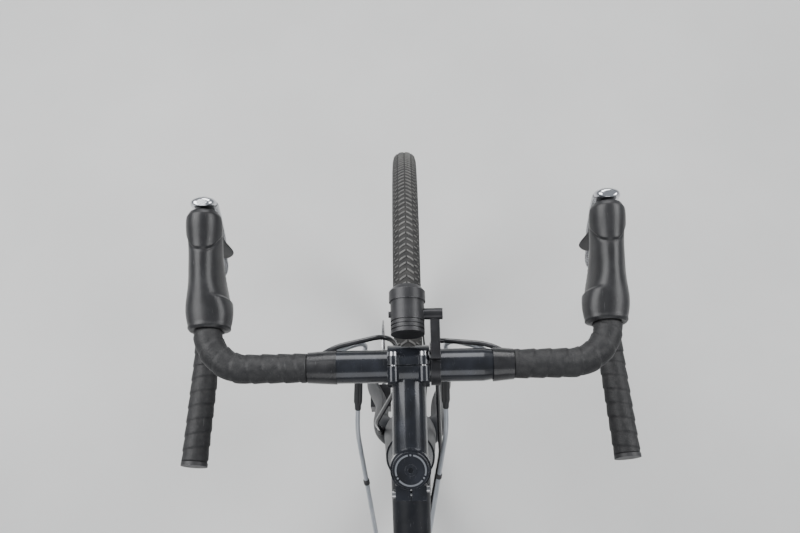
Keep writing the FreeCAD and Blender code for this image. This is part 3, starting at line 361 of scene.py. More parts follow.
# %% Main points, metres
MM = 0.001
FRONT, REAR = np.array([0, 507.5, 345.0]) * MM, np.array([0, -507.5, 345.0]) * MM
BB = np.array([0, -507.5 + math.sqrt(425.0 ** 2 - 70.0 ** 2), 275.0]) * MM
tilt = math.radians(72.0)
AXIS = np.array([0, -math.cos(tilt), math.sin(tilt)])
AHEAD = np.array([0, math.sin(tilt), math.cos(tilt)])
RACE = FRONT - AHEAD * 0.047 + AXIS * 0.385
rise = math.radians(12.04)
BAR = RACE + AXIS * 0.1935 + np.array([0, math.cos(rise), math.sin(rise)]) * 0.0942
BEND, BROW = np.array([192, 0, 0]) * MM, np.array([200, 80, 2]) * MM
HOOK, END = np.array([223, 76, -128]) * MM, np.array([232, -70, -128]) * MM
print("handlebar middle", np.round(BAR, 4))


# %% Function: a centre line of straight runs and tangent arcs
def route(points, radii, step):
    pts = [np.array(p, float) for p in points]
    out, start = [pts[0]], pts[0]

    def walk(a, b):
        count = max(1, int(np.linalg.norm(b - a) / step))
        out.extend(a + (b - a) * k / count for k in range(1, count + 1))

    for k, r in enumerate(radii, 1):
        a = (pts[k - 1] - pts[k]) / np.linalg.norm(pts[k - 1] - pts[k])
        b = (pts[k + 1] - pts[k]) / np.linalg.norm(pts[k + 1] - pts[k])
        half = math.acos(float(np.clip(a @ b, -1, 1))) / 2
        p, q = pts[k] + a * r / math.tan(half), pts[k] + b * r / math.tan(half)
        centre = pts[k] + (a + b) / np.linalg.norm(a + b) * r / math.sin(half)
        if np.linalg.norm(p - out[-1]) > 1e-5:
            walk(out[-1], p)
        sweep = math.pi - 2 * half
        u, w = (p - centre) / r, (q - centre) / r
        w = (w - u * (u @ w)) / np.linalg.norm(w - u * (u @ w))
        count = max(2, int(r * sweep / step))
        out.extend(centre + r * (u * math.cos(sweep * j / count) + w * math.sin(sweep * j / count))
                   for j in range(1, count + 1))
    walk(out[-1], pts[-1])
    return np.array(out)


def distance(path):
    """How far along the path each of its points lies."""
    return np.concatenate([[0], np.cumsum(np.linalg.norm(np.diff(path, axis=0), axis=1))])


def at_distance(path, gone, wanted):
    """Places on the path at the wanted distances along it."""
    return np.stack([np.interp(wanted, gone, path[:, k]) for k in range(3)], -1)


def frames(path):
    """Two directions square to the path at each point, which turn as little as they can."""
    t = np.gradient(path, axis=0)
    t /= np.linalg.norm(t, axis=1)[:, None]
    n = np.cross(t[0], [0, 0, 1.0]) if abs(t[0][2]) < 0.9 else np.cross(t[0], [0, 1.0, 0])
    n /= np.linalg.norm(n)
    ns = [n]
    for k in range(1, len(t)):
        n = ns[-1] - t[k] * (ns[-1] @ t[k])
        ns.append(n / np.linalg.norm(n))
    ns = np.array(ns)
    return ns, np.cross(t, ns)


def solid(name, rings, material, smooth=True):
    """A closed skin over rings of points, capped at both ends, facing outward."""
    rings = [np.asarray(r, float) for r in rings]
    n = len(rings[0])
    verts = np.vstack(rings + [rings[0].mean(0)[None], rings[-1].mean(0)[None]])
    faces = []
    for a in range(len(rings) - 1):
        for b in range(n):
            c = (b + 1) % n
            faces.append((a * n + b, a * n + c, (a + 1) * n + c, (a + 1) * n + b))
    first, last, base = len(verts) - 2, len(verts) - 1, (len(rings) - 1) * n
    faces += [(first, (b + 1) % n, b) for b in range(n)]
    faces += [(last, base + b, base + (b + 1) % n) for b in range(n)]
    mesh = bpy.data.meshes.new(name)
    mesh.from_pydata(verts.tolist(), [], faces)
    mesh.materials.append(material)
    return place(name, mesh, smooth)


def outward(mesh):
    """Turns the faces round if the closed mesh's volume comes out negative."""
    mesh.update()
    mesh.calc_loop_triangles()
    v = np.array([x.co for x in mesh.vertices])
    t = np.array([x.vertices for x in mesh.loop_triangles])
    if np.einsum("ij,ij->i", v[t[:, 0]], np.cross(v[t[:, 1]], v[t[:, 2]])).sum() < 0:
        mesh.flip_normals()


def place(name, mesh, smooth=True):
    """Makes an object of a closed mesh, with its faces outward."""
    outward(mesh)
    for p in mesh.polygons:
        p.use_smooth = smooth
    ob = bpy.data.objects.new(name, mesh)
    bpy.context.scene.collection.objects.link(ob)
    return ob


def tube(name, path, radius, material):
    """A round tube of 16 sides along a path."""
    n, b = frames(path)
    around = np.linspace(0, 2 * math.pi, 16, endpoint=False)
    rings = [p + radius * (np.outer(np.cos(around), n[k]) + np.outer(np.sin(around), b[k]))
             for k, p in enumerate(path)]
    return solid(name, rings, material)


# %% [markdown]
# ## Geometry Nodes: one maker for everything that repeats
# Tread blocks, links and stitches are all one shape put down many times. The tree takes a shape, stands
# copies on the host's points, turns each by its own angle about X, makes them real and sets a material.

# %% Tree: copies on points
stamp = bpy.data.node_groups.new("stamp_on_points", "GeometryNodeTree")
stamp.interface.new_socket("Geometry", in_out="OUTPUT", socket_type="NodeSocketGeometry")
for label, kind in (("Geometry", "Geometry"), ("Shape", "Object"), ("Every", "Int"), ("First", "Int"),
                    ("Material", "Material")):
    stamp.interface.new_socket(label, in_out="INPUT", socket_type="NodeSocket" + kind)
gi, go = stamp.nodes.new("NodeGroupInput").outputs, stamp.nodes.new("NodeGroupOutput").inputs


def gn(kind, settings=None):
    n = stamp.nodes.new(kind)
    for key, value in (settings or {}).items():
        setattr(n, key, value)
    return n


shape, index = gn("GeometryNodeObjectInfo"), gn("GeometryNodeInputIndex")
turns = gn("GeometryNodeInputNamedAttribute", {"data_type": "FLOAT_VECTOR"})
turns.inputs["Name"].default_value = "turn"
modulo = gn("FunctionNodeIntegerMath", {"operation": "MODULO"})
equal = gn("FunctionNodeCompare", {"data_type": "INT", "operation": "EQUAL"})
copies, real = gn("GeometryNodeInstanceOnPoints"), gn("GeometryNodeRealizeInstances")
paint = gn("GeometryNodeSetMaterial")
turner = gn("FunctionNodeEulerToRotation")
for a, b in ((gi["Shape"], shape.inputs["Object"]),
             (index.outputs[0], modulo.inputs[0]),
             (gi["Every"], modulo.inputs[1]),
             (modulo.outputs[0], equal.inputs[2]),
             (gi["First"], equal.inputs[3]),
             (gi["Geometry"], copies.inputs["Points"]),
             (equal.outputs[0], copies.inputs["Selection"]),
             (shape.outputs["Geometry"], copies.inputs["Instance"]),
             (turns.outputs["Attribute"], turner.inputs[0]),
             (turner.outputs[0], copies.inputs["Rotation"]),
             (copies.outputs[0], real.inputs[0]),
             (real.outputs[0], paint.inputs["Geometry"]),
             (gi["Material"], paint.inputs["Material"]),
             (paint.outputs[0], go[0])):
    stamp.links.new(a, b)


def repeat(name, points, turn, shape_mesh, material, every=1, first=0):
    """Copies of shape_mesh on points, each turned by its own Euler angles, as one plain mesh object.

    With every=2 only each second point gets a copy, counted from the one numbered first.
    """
    host = bpy.data.meshes.new(name + "_points")
    host.from_pydata(np.asarray(points, float).tolist(), [], [])
    field = host.attributes.new("turn", "FLOAT_VECTOR", "POINT")
    field.data.foreach_set("vector", np.asarray(turn, np.float32).ravel())
    seed = bpy.data.objects.new(name + "_shape", shape_mesh)
    holder = bpy.data.objects.new(name + "_holder", host)
    for ob in (seed, holder):
        bpy.context.scene.collection.objects.link(ob)
    mod = holder.modifiers.new("stamp", "NODES")
    mod.node_group = stamp
    values = {"Shape": seed, "Every": every, "First": first, "Material": material}
    for item in stamp.interface.items_tree:
        if item.in_out == "INPUT" and item.name in values:
            mod[item.identifier] = values[item.name]
    bpy.context.view_layer.update()
    depsgraph = bpy.context.evaluated_depsgraph_get()
    mesh = bpy.data.meshes.new_from_object(holder.evaluated_get(depsgraph), depsgraph=depsgraph)
    bpy.data.objects.remove(holder)
    bpy.data.objects.remove(seed)
    mesh.name = name
    ob = bpy.data.objects.new(name, mesh)
    bpy.context.scene.collection.objects.link(ob)
    for p in mesh.polygons:
        p.use_smooth = False
    return ob


def shell_mesh(name, parts):
    """One mesh of several closed prisms or grids, each a (vertices, faces) pair."""
    verts, faces = [], []
    for v, f in parts:
        base = len(verts)
        verts += [tuple(p) for p in v]
        faces += [tuple(base + k for k in face) for face in f]
    mesh = bpy.data.meshes.new(name)
    mesh.from_pydata(verts, [], faces)
    outward(mesh)
    return mesh


def prism(low, high):
    """A closed solid between two outlines with the same number of points."""
    n = len(low)
    faces = [tuple(range(n))[::-1], tuple(range(n, 2 * n))]
    faces += [(k, (k + 1) % n, n + (k + 1) % n, n + k) for k in range(n)]
    return list(low) + list(high), faces


# %% [markdown]
# ## Tyres
# The casing is a ring turned round the axle: a round crown over two beads. Its tread is a column of
# chevrons along the middle with short bars at the shoulders, moulded about a millimetre proud. One
# block is bent to the crown once, then set round the wheel.

# %% Casing and tread
CROWN, MIDDLE = 16.6, 327.5       # the casing crown's height and its centre's radius, in mm
FLANK, SQUARE = 17.7, 0.86        # half width; below 1 the shoulders are squarer than a circle's
ROLLING, ROOT = 344.0, -0.5       # radius at which the tread is laid out; depth of its roots


def casing_point(a, height=0.0):
    """Across and outward places of the casing at angle a from its crown."""
    c, d = math.cos(a), math.sin(a)
    return ((FLANK + height) * math.copysign(abs(d) ** SQUARE, d),
            MIDDLE + (CROWN + height) * math.copysign(abs(c) ** SQUARE, c))


def on_crown(x, along, height):
    """A point on the tyre at the top of the wheel: x across, along, and height over the casing."""
    across, r = casing_point(x / CROWN, height)
    turn_by = along / ROLLING
    return np.array([across, -r * math.sin(turn_by), r * math.cos(turn_by)]) * MM


def strip(x0, y0, x1, y1, width, height, cuts):
    """A raised bar on the crown from one place to another, tapered a little towards its top."""
    cells = []
    for k in range(cuts + 1):
        s = k / cuts
        x, y = x0 + (x1 - x0) * s, y0 + (y1 - y0) * s
        cells.append([on_crown(x, y - width / 2, ROOT), on_crown(x, y + width / 2, ROOT),
                      on_crown(x, y + width / 2 * 0.8, height),
                      on_crown(x, y - width / 2 * 0.8, height)])
    verts = [p for c in cells for p in c]
    faces = [(0, 1, 2, 3), (4 * cuts + 3, 4 * cuts + 2, 4 * cuts + 1, 4 * cuts)]
    for k in range(cuts):
        for j in range(4):
            a, b = 4 * k + j, 4 * k + (j + 1) % 4
            faces.append((a, a + 4, b + 4, b))
    return verts, faces


# each bar of the tread on one side, in mm: from x, y to x, y, then width, height and number of cuts
BARS = ((0.5, 0, 7.4, 5.2, 3.4, 1.0, 4), (9.2, 3.0, 13.4, 4.6, 2.2, 0.8, 2),
        (14.4, -1.0, 17.4, -0.4, 1.8, 0.6, 2))
block = shell_mesh("tread_block", [strip(s * x0, y0, s * x1, y1, width, height, cuts)
                                   for x0, y0, x1, y1, width, height, cuts in BARS for s in (1, -1)])
INSIDE = 14.2                     # inner radius of the casing's wall, in mm
BEAD = [(9.4, 317.2), (9.4, 311.8), (6.6, 311.8),
        (6.6, 317.2)]   # one bead, across and outward
outer = [casing_point(a) for a in np.radians(np.linspace(-124, 124, 41))]
inner = [(INSIDE * math.sin(a),
          MIDDLE + INSIDE * math.cos(a)) for a in np.radians(np.linspace(112, -112, 17))]
profile = outer + BEAD + inner + [(-x, r) for x, r in reversed(BEAD)]
BLOCKS, SPIN = 232, 160           # chevrons round a wheel, and steps round the casing
for name, centre, body in (("front", FRONT, "front_wheel"), ("rear", REAR, "rear_wheel")):
    verts, faces, n = [], [], len(profile)
    for k in range(SPIN):
        a = 2 * math.pi * k / SPIN
        verts += [(x * MM, centre[1] - r * MM * math.sin(a), centre[2] + r * MM * math.cos(a)) for x,
                  r in profile]
        near, far = k * n, (k + 1) % SPIN * n
        faces += [(near + j, near + (j + 1) % n, far + (j + 1) % n, far + j) for j in range(n)]
    mesh = bpy.data.meshes.new(name + "_casing")
    mesh.from_pydata(verts, [], faces)
    mesh.materials.append(M["tyre"])
    casing = place(name + "_casing", mesh)
    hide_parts(name + "_tyre")
    turn = [(2 * math.pi * k / BLOCKS, 0, 0) for k in range(BLOCKS)]
    tread = repeat(name + "_tread", [tuple(centre)] * BLOCKS, turn, block, M["tread"])
    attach(casing, body)
    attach(tread, body)
    print(name, "tread blocks:", BLOCKS, "faces:", len(tread.data.polygons))

# %% [markdown]
# ## Chain
# A belt drawn round four circles gives the chain's centre line. Links stand on it at one pitch; inner
# and outer links take turns, each a pair of waisted plates round two rollers. Seen side on, the jockey
# wheels bend it twice. The chain is made in two stretches, parted at the tension pulley and at the
# chainring; both are fixed in place and do not follow the cage.


# %% Centre line and links
PITCH, CHAIN_X, SAMPLES = 0.0127, 0.04605, 120   # pin to pin, place across, points on each circle


def belt(circles, turns):
    """Points of a loop round (centre, radius) circles; +1 turns anticlockwise, -1 clockwise."""
    n, leave, arrive = len(circles), {}, {}
    for k in range(n):
        j = (k + 1) % n
        (c1, r1), (c2, r2) = circles[k], circles[j]
        dy, dz = c2[1] - c1[1], c2[2] - c1[2]
        aim = math.atan2(dz, dy) - math.asin((turns[j] * r2 - turns[k] * r1) / math.hypot(dy, dz))
        left = np.array([0, -math.sin(aim), math.cos(aim)])
        leave[k], arrive[j] = c1 - left * turns[k] * r1, c2 - left * turns[j] * r2
    out = []
    for k in range(n):
        c, r = circles[k]
        a = math.atan2(arrive[k][2] - c[2], arrive[k][1] - c[1])
        b = math.atan2(leave[k][2] - c[2], leave[k][1] - c[1])
        wrap = (b - a) % (2 * math.pi) if turns[k] > 0 else -((a - b) % (2 * math.pi))
        for s in np.linspace(0, 1, SAMPLES):
            out.append(c + np.array([0, math.cos(a + wrap * s), math.sin(a + wrap * s)]) * r)
    return np.array(out)


def pitch_radius(teeth):
    return PITCH / (2 * math.sin(math.pi / teeth))


GUIDE = REAR + np.array([0, 0.010, -0.078])
TENSION = GUIDE + np.array([0, 0.024, -0.052])
loop = belt([(REAR, pitch_radius(18)), (GUIDE, pitch_radius(11)), (TENSION, pitch_radius(11)),
             (BB, pitch_radius(50))], [1, -1, 1, 1])
loop = np.vstack([loop, loop[:1]])
gone = distance(loop)
LINKS = 2 * round(gone[-1] / (2 * PITCH))
at = np.arange(LINKS + 1) * gone[-1] / LINKS
pins = at_distance(loop, gone, at)
pins[:, 0] = CHAIN_X
middles, way = (pins[:-1] + pins[1:]) / 2, np.diff(pins, axis=0)
turn = np.stack([np.arctan2(way[:, 2], way[:, 1]), np.zeros(LINKS), np.zeros(LINKS)], 1)


def plates(outer_link):
    """Two waisted plates and, on inner links, their rollers."""
    gap, thick = 0.00205 if outer_link else 0.00125, 0.0008
    half, eye, waist = PITCH / 2, 0.0042, 0.0031
    outline = []
    for c, start in ((half, -math.pi / 2), (-half, math.pi / 2)):
        outline += [(c + eye * math.cos(start + math.pi * k / 8),
                     eye * math.sin(start + math.pi * k / 8))
                    for k in range(9)]
        outline.append((0.0, waist if c > 0 else -waist))
    parts = []
    for sign in (-1, 1):
        a, b = sign * gap, sign * (gap + thick)
        parts.append(prism([(a, y, z) for y, z in outline], [(b, y, z) for y, z in outline]))
    reach, r = (0.0033, 0.0017) if outer_link else (0.0012, 0.0038)
    for c in (-half, half):
        ring = [(c + r * math.cos(k * math.pi / 8), r * math.sin(k * math.pi / 8)) for k in range(16)]
        parts.append(prism([(-reach, y, z) for y, z in ring], [(reach, y, z) for y, z in ring]))
    return shell_mesh("link", parts)


# the stretches part where the chain reaches the tension pulley and where it reaches the chainring
cut, end = (int(np.searchsorted(at, gone[k])) for k in (2 * SAMPLES, 3 * SAMPLES))
DOWN = (TENSION - GUIDE) / np.linalg.norm(TENSION - GUIDE)
for part, some, bodies, start, stop in (
        ("upper", np.r_[end:LINKS, 0:cut], ("frame", "cage"), GUIDE + DOWN * 0.018,
         GUIDE + DOWN * 0.038),
        ("lower", np.r_[cut:end], ("cage", "frame"), TENSION + [0, 0.03, 0], TENSION + [0, 0.33, 0])):
    for kind, first in (("outer", 0), ("inner", 1)):
        ob = repeat("chain_%s_%s" % (part, kind), middles[some], turn[some], plates(kind == "outer"),
                    M["chain"], every=2, first=int(first + some[0]) % 2)
        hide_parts("chain")
        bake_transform(ob)
print("chain links:", LINKS, "pitch mm:", round(1000 * gone[-1] / LINKS, 3))

# %% [markdown]
# ## Bar tape
# Tape is a long padded strip wound round the bar from the plug inward, each turn lapping half of the
# last. The laps make a shallow saw-tooth spiral, which is what the hand feels and the light catches.


# %% Wrapped tape on both sides
LAP, DROP = 0.0155, 0.88      # from lap to lap, and the share of it where the lap starts to fall
BAR_R, LINING, SIDES = 0.0119, 0.01195, 40


def wound(path, side):
    """Rings over the tape's outer skin: each lap climbs, then falls to the next; sides are mirrored."""
    n, b = frames(path)
    gone = distance(path)
    around = np.linspace(0, 2 * math.pi, SIDES, endpoint=False)
    rings = []
    for k, p in enumerate(path):
        lap = (gone[k] / LAP + side * around / (2 * math.pi)) % 1.0
        climb, drop = np.clip(lap / DROP, 0, 1) ** 0.7, np.clip((lap - DROP) / 0.12, 0, 1)
        r = BAR_R + 0.0016 + 0.0010 * climb - 0.0010 * drop
        if k in (0, len(path) - 1):
            r = np.full(SIDES, BAR_R + 0.0012)
        rings.append(p + np.outer(np.cos(around) * r, n[k]) + np.outer(np.sin(around) * r, b[k]))
    return rings


def ribbon(name, pieces, material):
    """Hollow sleeves: each outer skin is paired with a lining that lies on the bar."""
    parts = []
    for path, side in pieces:
        n, b = frames(path)
        outer_rings = wound(path, side)
        around = np.linspace(0, 2 * math.pi, SIDES, endpoint=False)
        inner_rings = [p + LINING * (np.outer(np.cos(around), n[k]) + np.outer(np.sin(around), b[k]))
                       for k, p in enumerate(path)]
        rings = outer_rings + inner_rings[::-1]
        count = len(rings)
        verts = np.vstack(rings)
        faces = []
        for a in range(count):
            near, far = a * SIDES, (a + 1) % count * SIDES
            faces += [(near + j, near + (j + 1) % SIDES, far + (j + 1) % SIDES,
                       far + j) for j in range(SIDES)]
        parts.append((verts.tolist(), faces))
    mesh = shell_mesh(name, parts)
    mesh.materials.append(material)
    return place(name, mesh)


def flip(points):
    return [np.array([-p[0], p[1], p[2]]) for p in points]


ramp_way = (BROW - BEND) / np.linalg.norm(BROW - BEND)
fall = (HOOK - BROW) / np.linalg.norm(HOOK - BROW)
for name, side, start in (("left", -1, 0.097), ("right", 1, 0.101)):
    tops = [np.array([start, 0, 0]), BEND, BEND + ramp_way * 0.0395]
    low = [BROW + fall * 0.0395, HOOK, END]
    if side < 0:
        tops, low = flip(tops), flip(low)
    pieces = [(route([BAR + p for p in corners], [bend], 0.0011), side)
              for corners, bend in ((tops, 0.040), (low, 0.050))]
    tape = ribbon("tape_" + name, pieces, M["tape"])
    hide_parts("bar_tape_" + name)
    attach(tape, "steering")
    print(name, "tape faces:", len(tape.data.polygons))

# %% [markdown]
# ## Hoods
# A hood is moulded rubber pulled over the lever body. We take the CAD's hood, give it an even skin of
# small faces, and push that skin outward where the mould was deeper: a raised facet with a U-shaped
# edge on the horn, where the thumb rests, a pod on the inner side over the lever's clamp, a rolled lip
# at the foot and faint finger ribs low on both flanks.


# %% Skin, facet, pod, lip and ribs
def step_up(value, low, high):
    """A soft step from 0 at low to 1 at high."""
    s = np.clip((value - low) / (high - low), 0, 1)
    return s * s * (3 - 2 * s)


# the hood's middle, places ahead of the bar, pitch of the ribs, and how proud each part is, in mm
HOOD_X, FACET_AT, HORN_TIP, LIP_AT, POD_END, RIB_PITCH = 199.5, 114, 151, 41.5, 72, 4.2
FACET_UP, GROOVE_DOWN, LIP_UP, RIB_UP, POD_UP = 1.3, 0.7, 0.8, 0.45, 2.6
for tag, side in (("left", -1), ("right", 1)):
    copy = bpy.data.objects.new("hood_copy", nodes["hood_" + tag].data.copy())
    copy.matrix_world = nodes["hood_" + tag].matrix_world
    bpy.context.scene.collection.objects.link(copy)
    even = copy.modifiers.new("even", "REMESH")
    even.mode, even.voxel_size = "VOXEL", 0.0010
    bpy.context.view_layer.update()
    depsgraph = bpy.context.evaluated_depsgraph_get()
    mesh = bpy.data.meshes.new_from_object(copy.evaluated_get(depsgraph), depsgraph=depsgraph)
    mesh.transform(copy.matrix_world)
    bpy.data.objects.remove(copy)
    co, no = np.empty(len(mesh.vertices) * 3), np.empty(len(mesh.vertices) * 3)
    mesh.vertices.foreach_get("co", co)
    mesh.vertex_normals.foreach_get("vector", no)
    co, no = co.reshape(-1, 3), no.reshape(-1, 3)
    across, ahead = (side * co[:, 0]) * 1000 - HOOD_X, (co[:, 1] - BAR[1]) * 1000
    foot = FACET_AT + 15 * (np.abs(across) / 16.0) ** 3
    facet = step_up(ahead, foot - 0.8, foot + 0.8) * step_up(HORN_TIP - ahead, 0, 4) * step_up(no[:, 2],
                                                                                               -0.1,
                                                                                               0.3)
    groove = np.exp(-((ahead - foot + 1.6) / 1.1) ** 2) * step_up(no[:, 2], -0.1, 0.3)
    lip = np.exp(-((ahead - LIP_AT) / 1.6) ** 2) * (np.abs(no[:, 1]) < 0.7)
    ribs = (0.5 + 0.5 * np.cos(ahead * 2 * math.pi / RIB_PITCH)) * step_up(ahead, 66,
                                                                           74) * step_up(112 - ahead, 0,
                                                                                         8)
    ribs = ribs * step_up(np.abs(no[:, 0]), 0.8, 0.95) * step_up(-no[:, 2], -0.05, 0.2)
    pod = step_up(-side * no[:, 0], 0.2, 0.9) * step_up(POD_END - ahead, 0, 4) * step_up(ahead, 39, 42)
    proud = FACET_UP * facet - GROOVE_DOWN * groove + LIP_UP * lip + RIB_UP * ribs + POD_UP * pod
    co += no * proud[:, None] * MM
    mesh.vertices.foreach_set("co", co.ravel())
    mesh.materials.clear()
    mesh.materials.append(M["hood"])
    hood = place("rubber_" + tag, mesh)
    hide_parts("hood_" + tag)
    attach(hood, "steering")
    print(tag, "hood faces:", len(mesh.polygons))

# %% [markdown]
# ## Saddle
# A thin moulded shell carries foam, and a cover is drawn over both. The foam swells at the sides, sinks
# in a shallow channel along the middle, and rolls under at the rim, where a line of stitches holds the
# cover.

# %% Padding, channel and stitches
SEAT_Y, SEAT_Z = -293, 948          # middle of the saddle and height of its rim, in mm
STITCH, THREAD = 0.0042, 0.0004     # from stitch to stitch, and the thread's radius
# place along the saddle, half width and crown over the rim, in mm
SECTIONS = ((-138, 40, 8), (-134, 52, 11), (-122, 64, 15), (-90, 71, 18.5), (-55, 65.5, 19.5),
            (-18, 45, 18.5),
            (25, 30, 17.5), (75, 22, 16.5), (112, 18.5, 15), (128, 14, 12), (134, 8, 7))
ys = np.linspace(-138, 134, 90)
wide = np.interp(ys, [s[0] for s in SECTIONS], [s[1] for s in SECTIONS])
tall = np.interp(ys, [s[0] for s in SECTIONS], [s[2] for s in SECTIONS])
kernel = np.ones(5) / 5
wide[2:-2], tall[2:-2] = np.convolve(wide, kernel, "valid"), np.convolve(tall, kernel, "valid")
rings, seam = [], []
for y, w, h in zip(ys, wide, tall):
    base = SEAT_Z + 2 * (y / 130.0) ** 2
    ring = []
    for a in np.linspace(-0.18 * math.pi, 1.18 * math.pi, 40):
        x = w * math.copysign(abs(math.cos(a)) ** 0.85, math.cos(a))
        z = h * (math.sin(a) if math.sin(a) > 0 else 0.45 * math.sin(a))
        fade = min(1.0,
                   max(0.0, (100 - abs(y)) / 40))        # the channel ends before the nose and the tail
        z -= 3.0 * math.exp(-(x / 7.5) ** 2) * max(0.0, math.sin(a)) * fade
        ring.append((x * MM, (SEAT_Y + y) * MM, (base + z) * MM))
    ring += [(x * 0.8, y2, (base - 0.42 * h) * MM) for x, y2, _ in (ring[-1], ring[0])]
    rings.append(ring)
    seam.append(ring[6])
cushion = solid("saddle_cushion", rings, M["cover"])
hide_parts("saddle_pad")
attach(cushion, "frame")
seam = np.array(seam)[4:-4]
gone = distance(seam)
count = int(gone[-1] / STITCH)
at = (np.arange(count) + 0.5) * gone[-1] / count
dots = at_distance(seam, gone, at)
way = np.gradient(dots, axis=0)
heading = np.stack([np.zeros(count), np.zeros(count), np.arctan2(-way[:, 0], way[:, 1])], 1)
sides = [(dots + [THREAD, 0, 0.0003], heading),
         (dots * [-1, 1, 1] + [-THREAD, 0, 0.0003], heading * [1, 1, -1])]
ring = [(math.cos(k * math.pi / 4), math.sin(k * math.pi / 4)) for k in range(8)]
stitch = shell_mesh("stitch", [prism([(THREAD * c, -0.0013, THREAD * s) for c, s in ring],
                                     [(THREAD * c, 0.0013, THREAD * s) for c, s in ring])])
stitches = repeat("saddle_stitches", np.vstack([s[0] for s in sides]), np.vstack([s[1] for s in sides]),
                  stitch,
                  M["thread"])
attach(stitches, "frame")
print("stitches:", 2 * count)

# %% [markdown]
# ## Housings and hose
# Cables in springy outer housings run from the levers through the bar, bow out in front of the head
# tube and enter the down tube. They have to flex when the bar turns; here each is one smooth tube, fixed
# in place.


# %% Lines that cross the steering
def from_lever(side, up, exit_x, *after):
    """Corners of a line from the lever, out of the bar at exit_x mm, then the places after."""
    pts = [BEND + ramp_way * 0.054, BEND, np.array([exit_x * MM, 0, 0]),
           np.array([(exit_x - 33) * MM, 0.0195, 0])]
    return [BAR + p * [side, 1, 1] + [0, 0, up * MM] for p in pts] + [np.asarray(p,
                                                                                 float) for p in after]


def mm(*v):
    return np.array(v, float) * MM


DT_TOP = RACE + AXIS * 0.040
DT_WAY = (BB - DT_TOP) / np.linalg.norm(BB - DT_TOP)
DT_UP = np.array([0, DT_WAY[2], -DT_WAY[1]])
CABLE_IN = DT_TOP + DT_WAY * 0.300
LEFT_IN = CABLE_IN + mm(-12, 0, 0) + DT_UP * 0.009
rear_line = from_lever(1, 3.2, 112, BAR + mm(22, 28, -7.5), BAR + mm(30, 12, -88.5),
                       RACE + mm(35, -22, 3.5),
                       CABLE_IN + mm(-7, 0, 0), BB + mm(-6, 62, 66), BB + mm(-20, 60, -8),
                       BB + mm(-27, -20, -36),
                       BB + mm(-29, -102, 0), REAR + mm(-74, 84, -27), REAR + mm(-62, 66, -14))
right_line = from_lever(1, -3.2, 100, BAR + mm(38, 30, -14.5), BAR + mm(38, 16, -72.5),
                        RACE + mm(39, -10, 93.5),
                        CABLE_IN, BB + mm(8, 62, 64), BB + mm(20, 52, -10), BB + mm(27, -20, -36),
                        BB + mm(29, -102, -2), REAR + mm(72, 100, -28), REAR + mm(84, 36, -28))
left_line = from_lever(-1, -3.2, 96, BAR + mm(-40, 30, -14.5), BAR + mm(-52, 16, -72.5),
                       RACE + mm(-56, -10, 93.5),
                       RACE + mm(-36, -144, -66.5), LEFT_IN, LEFT_IN + DT_WAY * 0.140)
BENDS = {"rear_hose": [40, 30, 60, 15, 60, 60, 100, 22, 25, 40, 90, 8],
         "right_housing": [40, 30, 40, 18, 40, 60, 100, 22, 25, 40, 90],
         "left_housing": [40, 30, 40, 18, 40, 80, 60]}
LINES = {"rear_hose": (rear_line, "hose"), "right_housing": (right_line, "housing"),
         "left_housing": (left_line, "housing")}
HOSE_R = 0.0025
paths = {}
for name, (points, key) in LINES.items():
    paths[name] = route(points, [r * MM for r in BENDS[name]], 0.005)
    line = tube(name, paths[name], HOSE_R, M[key])
    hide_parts("rear_brake_hose" if key == "hose" else "shift_housings")
    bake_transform(line)
    print(name, "length mm:", round(1000 * distance(paths[name])[-1]))


# %% [markdown]
# Barrel adjusters sit in line with the housings just behind the bar, and soft bands keep the housings
# from rattling. Each is a sleeve over a short stretch of the same centre line, ribbed so that fingers
# can turn it.

# %% Adjusters and bands
def sleeve(name, path, first, length, radii):
    """A turned sleeve on a path from the point nearest to first; radii lists (share, mm)."""
    k = int(np.argmin(np.linalg.norm(path - np.asarray(first), axis=1)))
    rest = path[k:]
    gone = distance(rest)
    rings = []
    around = np.linspace(0, 2 * math.pi, 24, endpoint=False)
    for share, r in radii:
        d = share * length
        p, q = at_distance(rest, gone, d), at_distance(rest, gone, d + 0.001)
        t = (q - p) / np.linalg.norm(q - p)
        n = np.cross(t, [1.0, 0, 0])
        n /= np.linalg.norm(n)
        b = np.cross(t, n)
        rr = r * MM * (1 + 0.05 * np.cos(12 * around) * (0.2 < share < 0.8))
        rings.append(p + np.outer(np.cos(around) * rr, n) + np.outer(np.sin(around) * rr, b))
    ob = solid(name, rings, M["plastic"], smooth=False)
    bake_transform(ob)


barrel = [(0, 2.7), (0.02, 3.4), (0.15, 3.6), (0.22, 4.2), (0.5, 4.3), (0.78, 4.2), (0.85, 3.5),
          (0.98, 3.3), (1, 2.7)]
band = [(0, 2.6), (0.1, 3.4), (0.9, 3.4), (1, 2.6)]
for tag, barrel_at, band_at in (("right", mm(38, 386, 828), mm(31, 282, 745)),
                                ("left", mm(-53, 386, 828), mm(-47, 282, 745))):
    sleeve("adjuster_" + tag, paths[tag + "_housing"], barrel_at, 0.040, barrel)
    sleeve("band_low_" + tag, paths[tag + "_housing"], band_at, 0.007, band)
print("adjusters and bands: 4")

# %% [markdown]
# ## Small fittings
# The lamp's glass is a shallow dome with fine rings, and a valve comes through each rim towards the
# axle.

# %% Lens and valves
lamp_at = BAR + mm(0, 24, 26)
ROUND = 48
around = np.linspace(0, 2 * math.pi, ROUND, endpoint=False)
LENS = [(44.2, 11.6), (45.6, 11.6), (46.6, 8.0), (47.0, 3.0)]     # forward place and radius, in mm

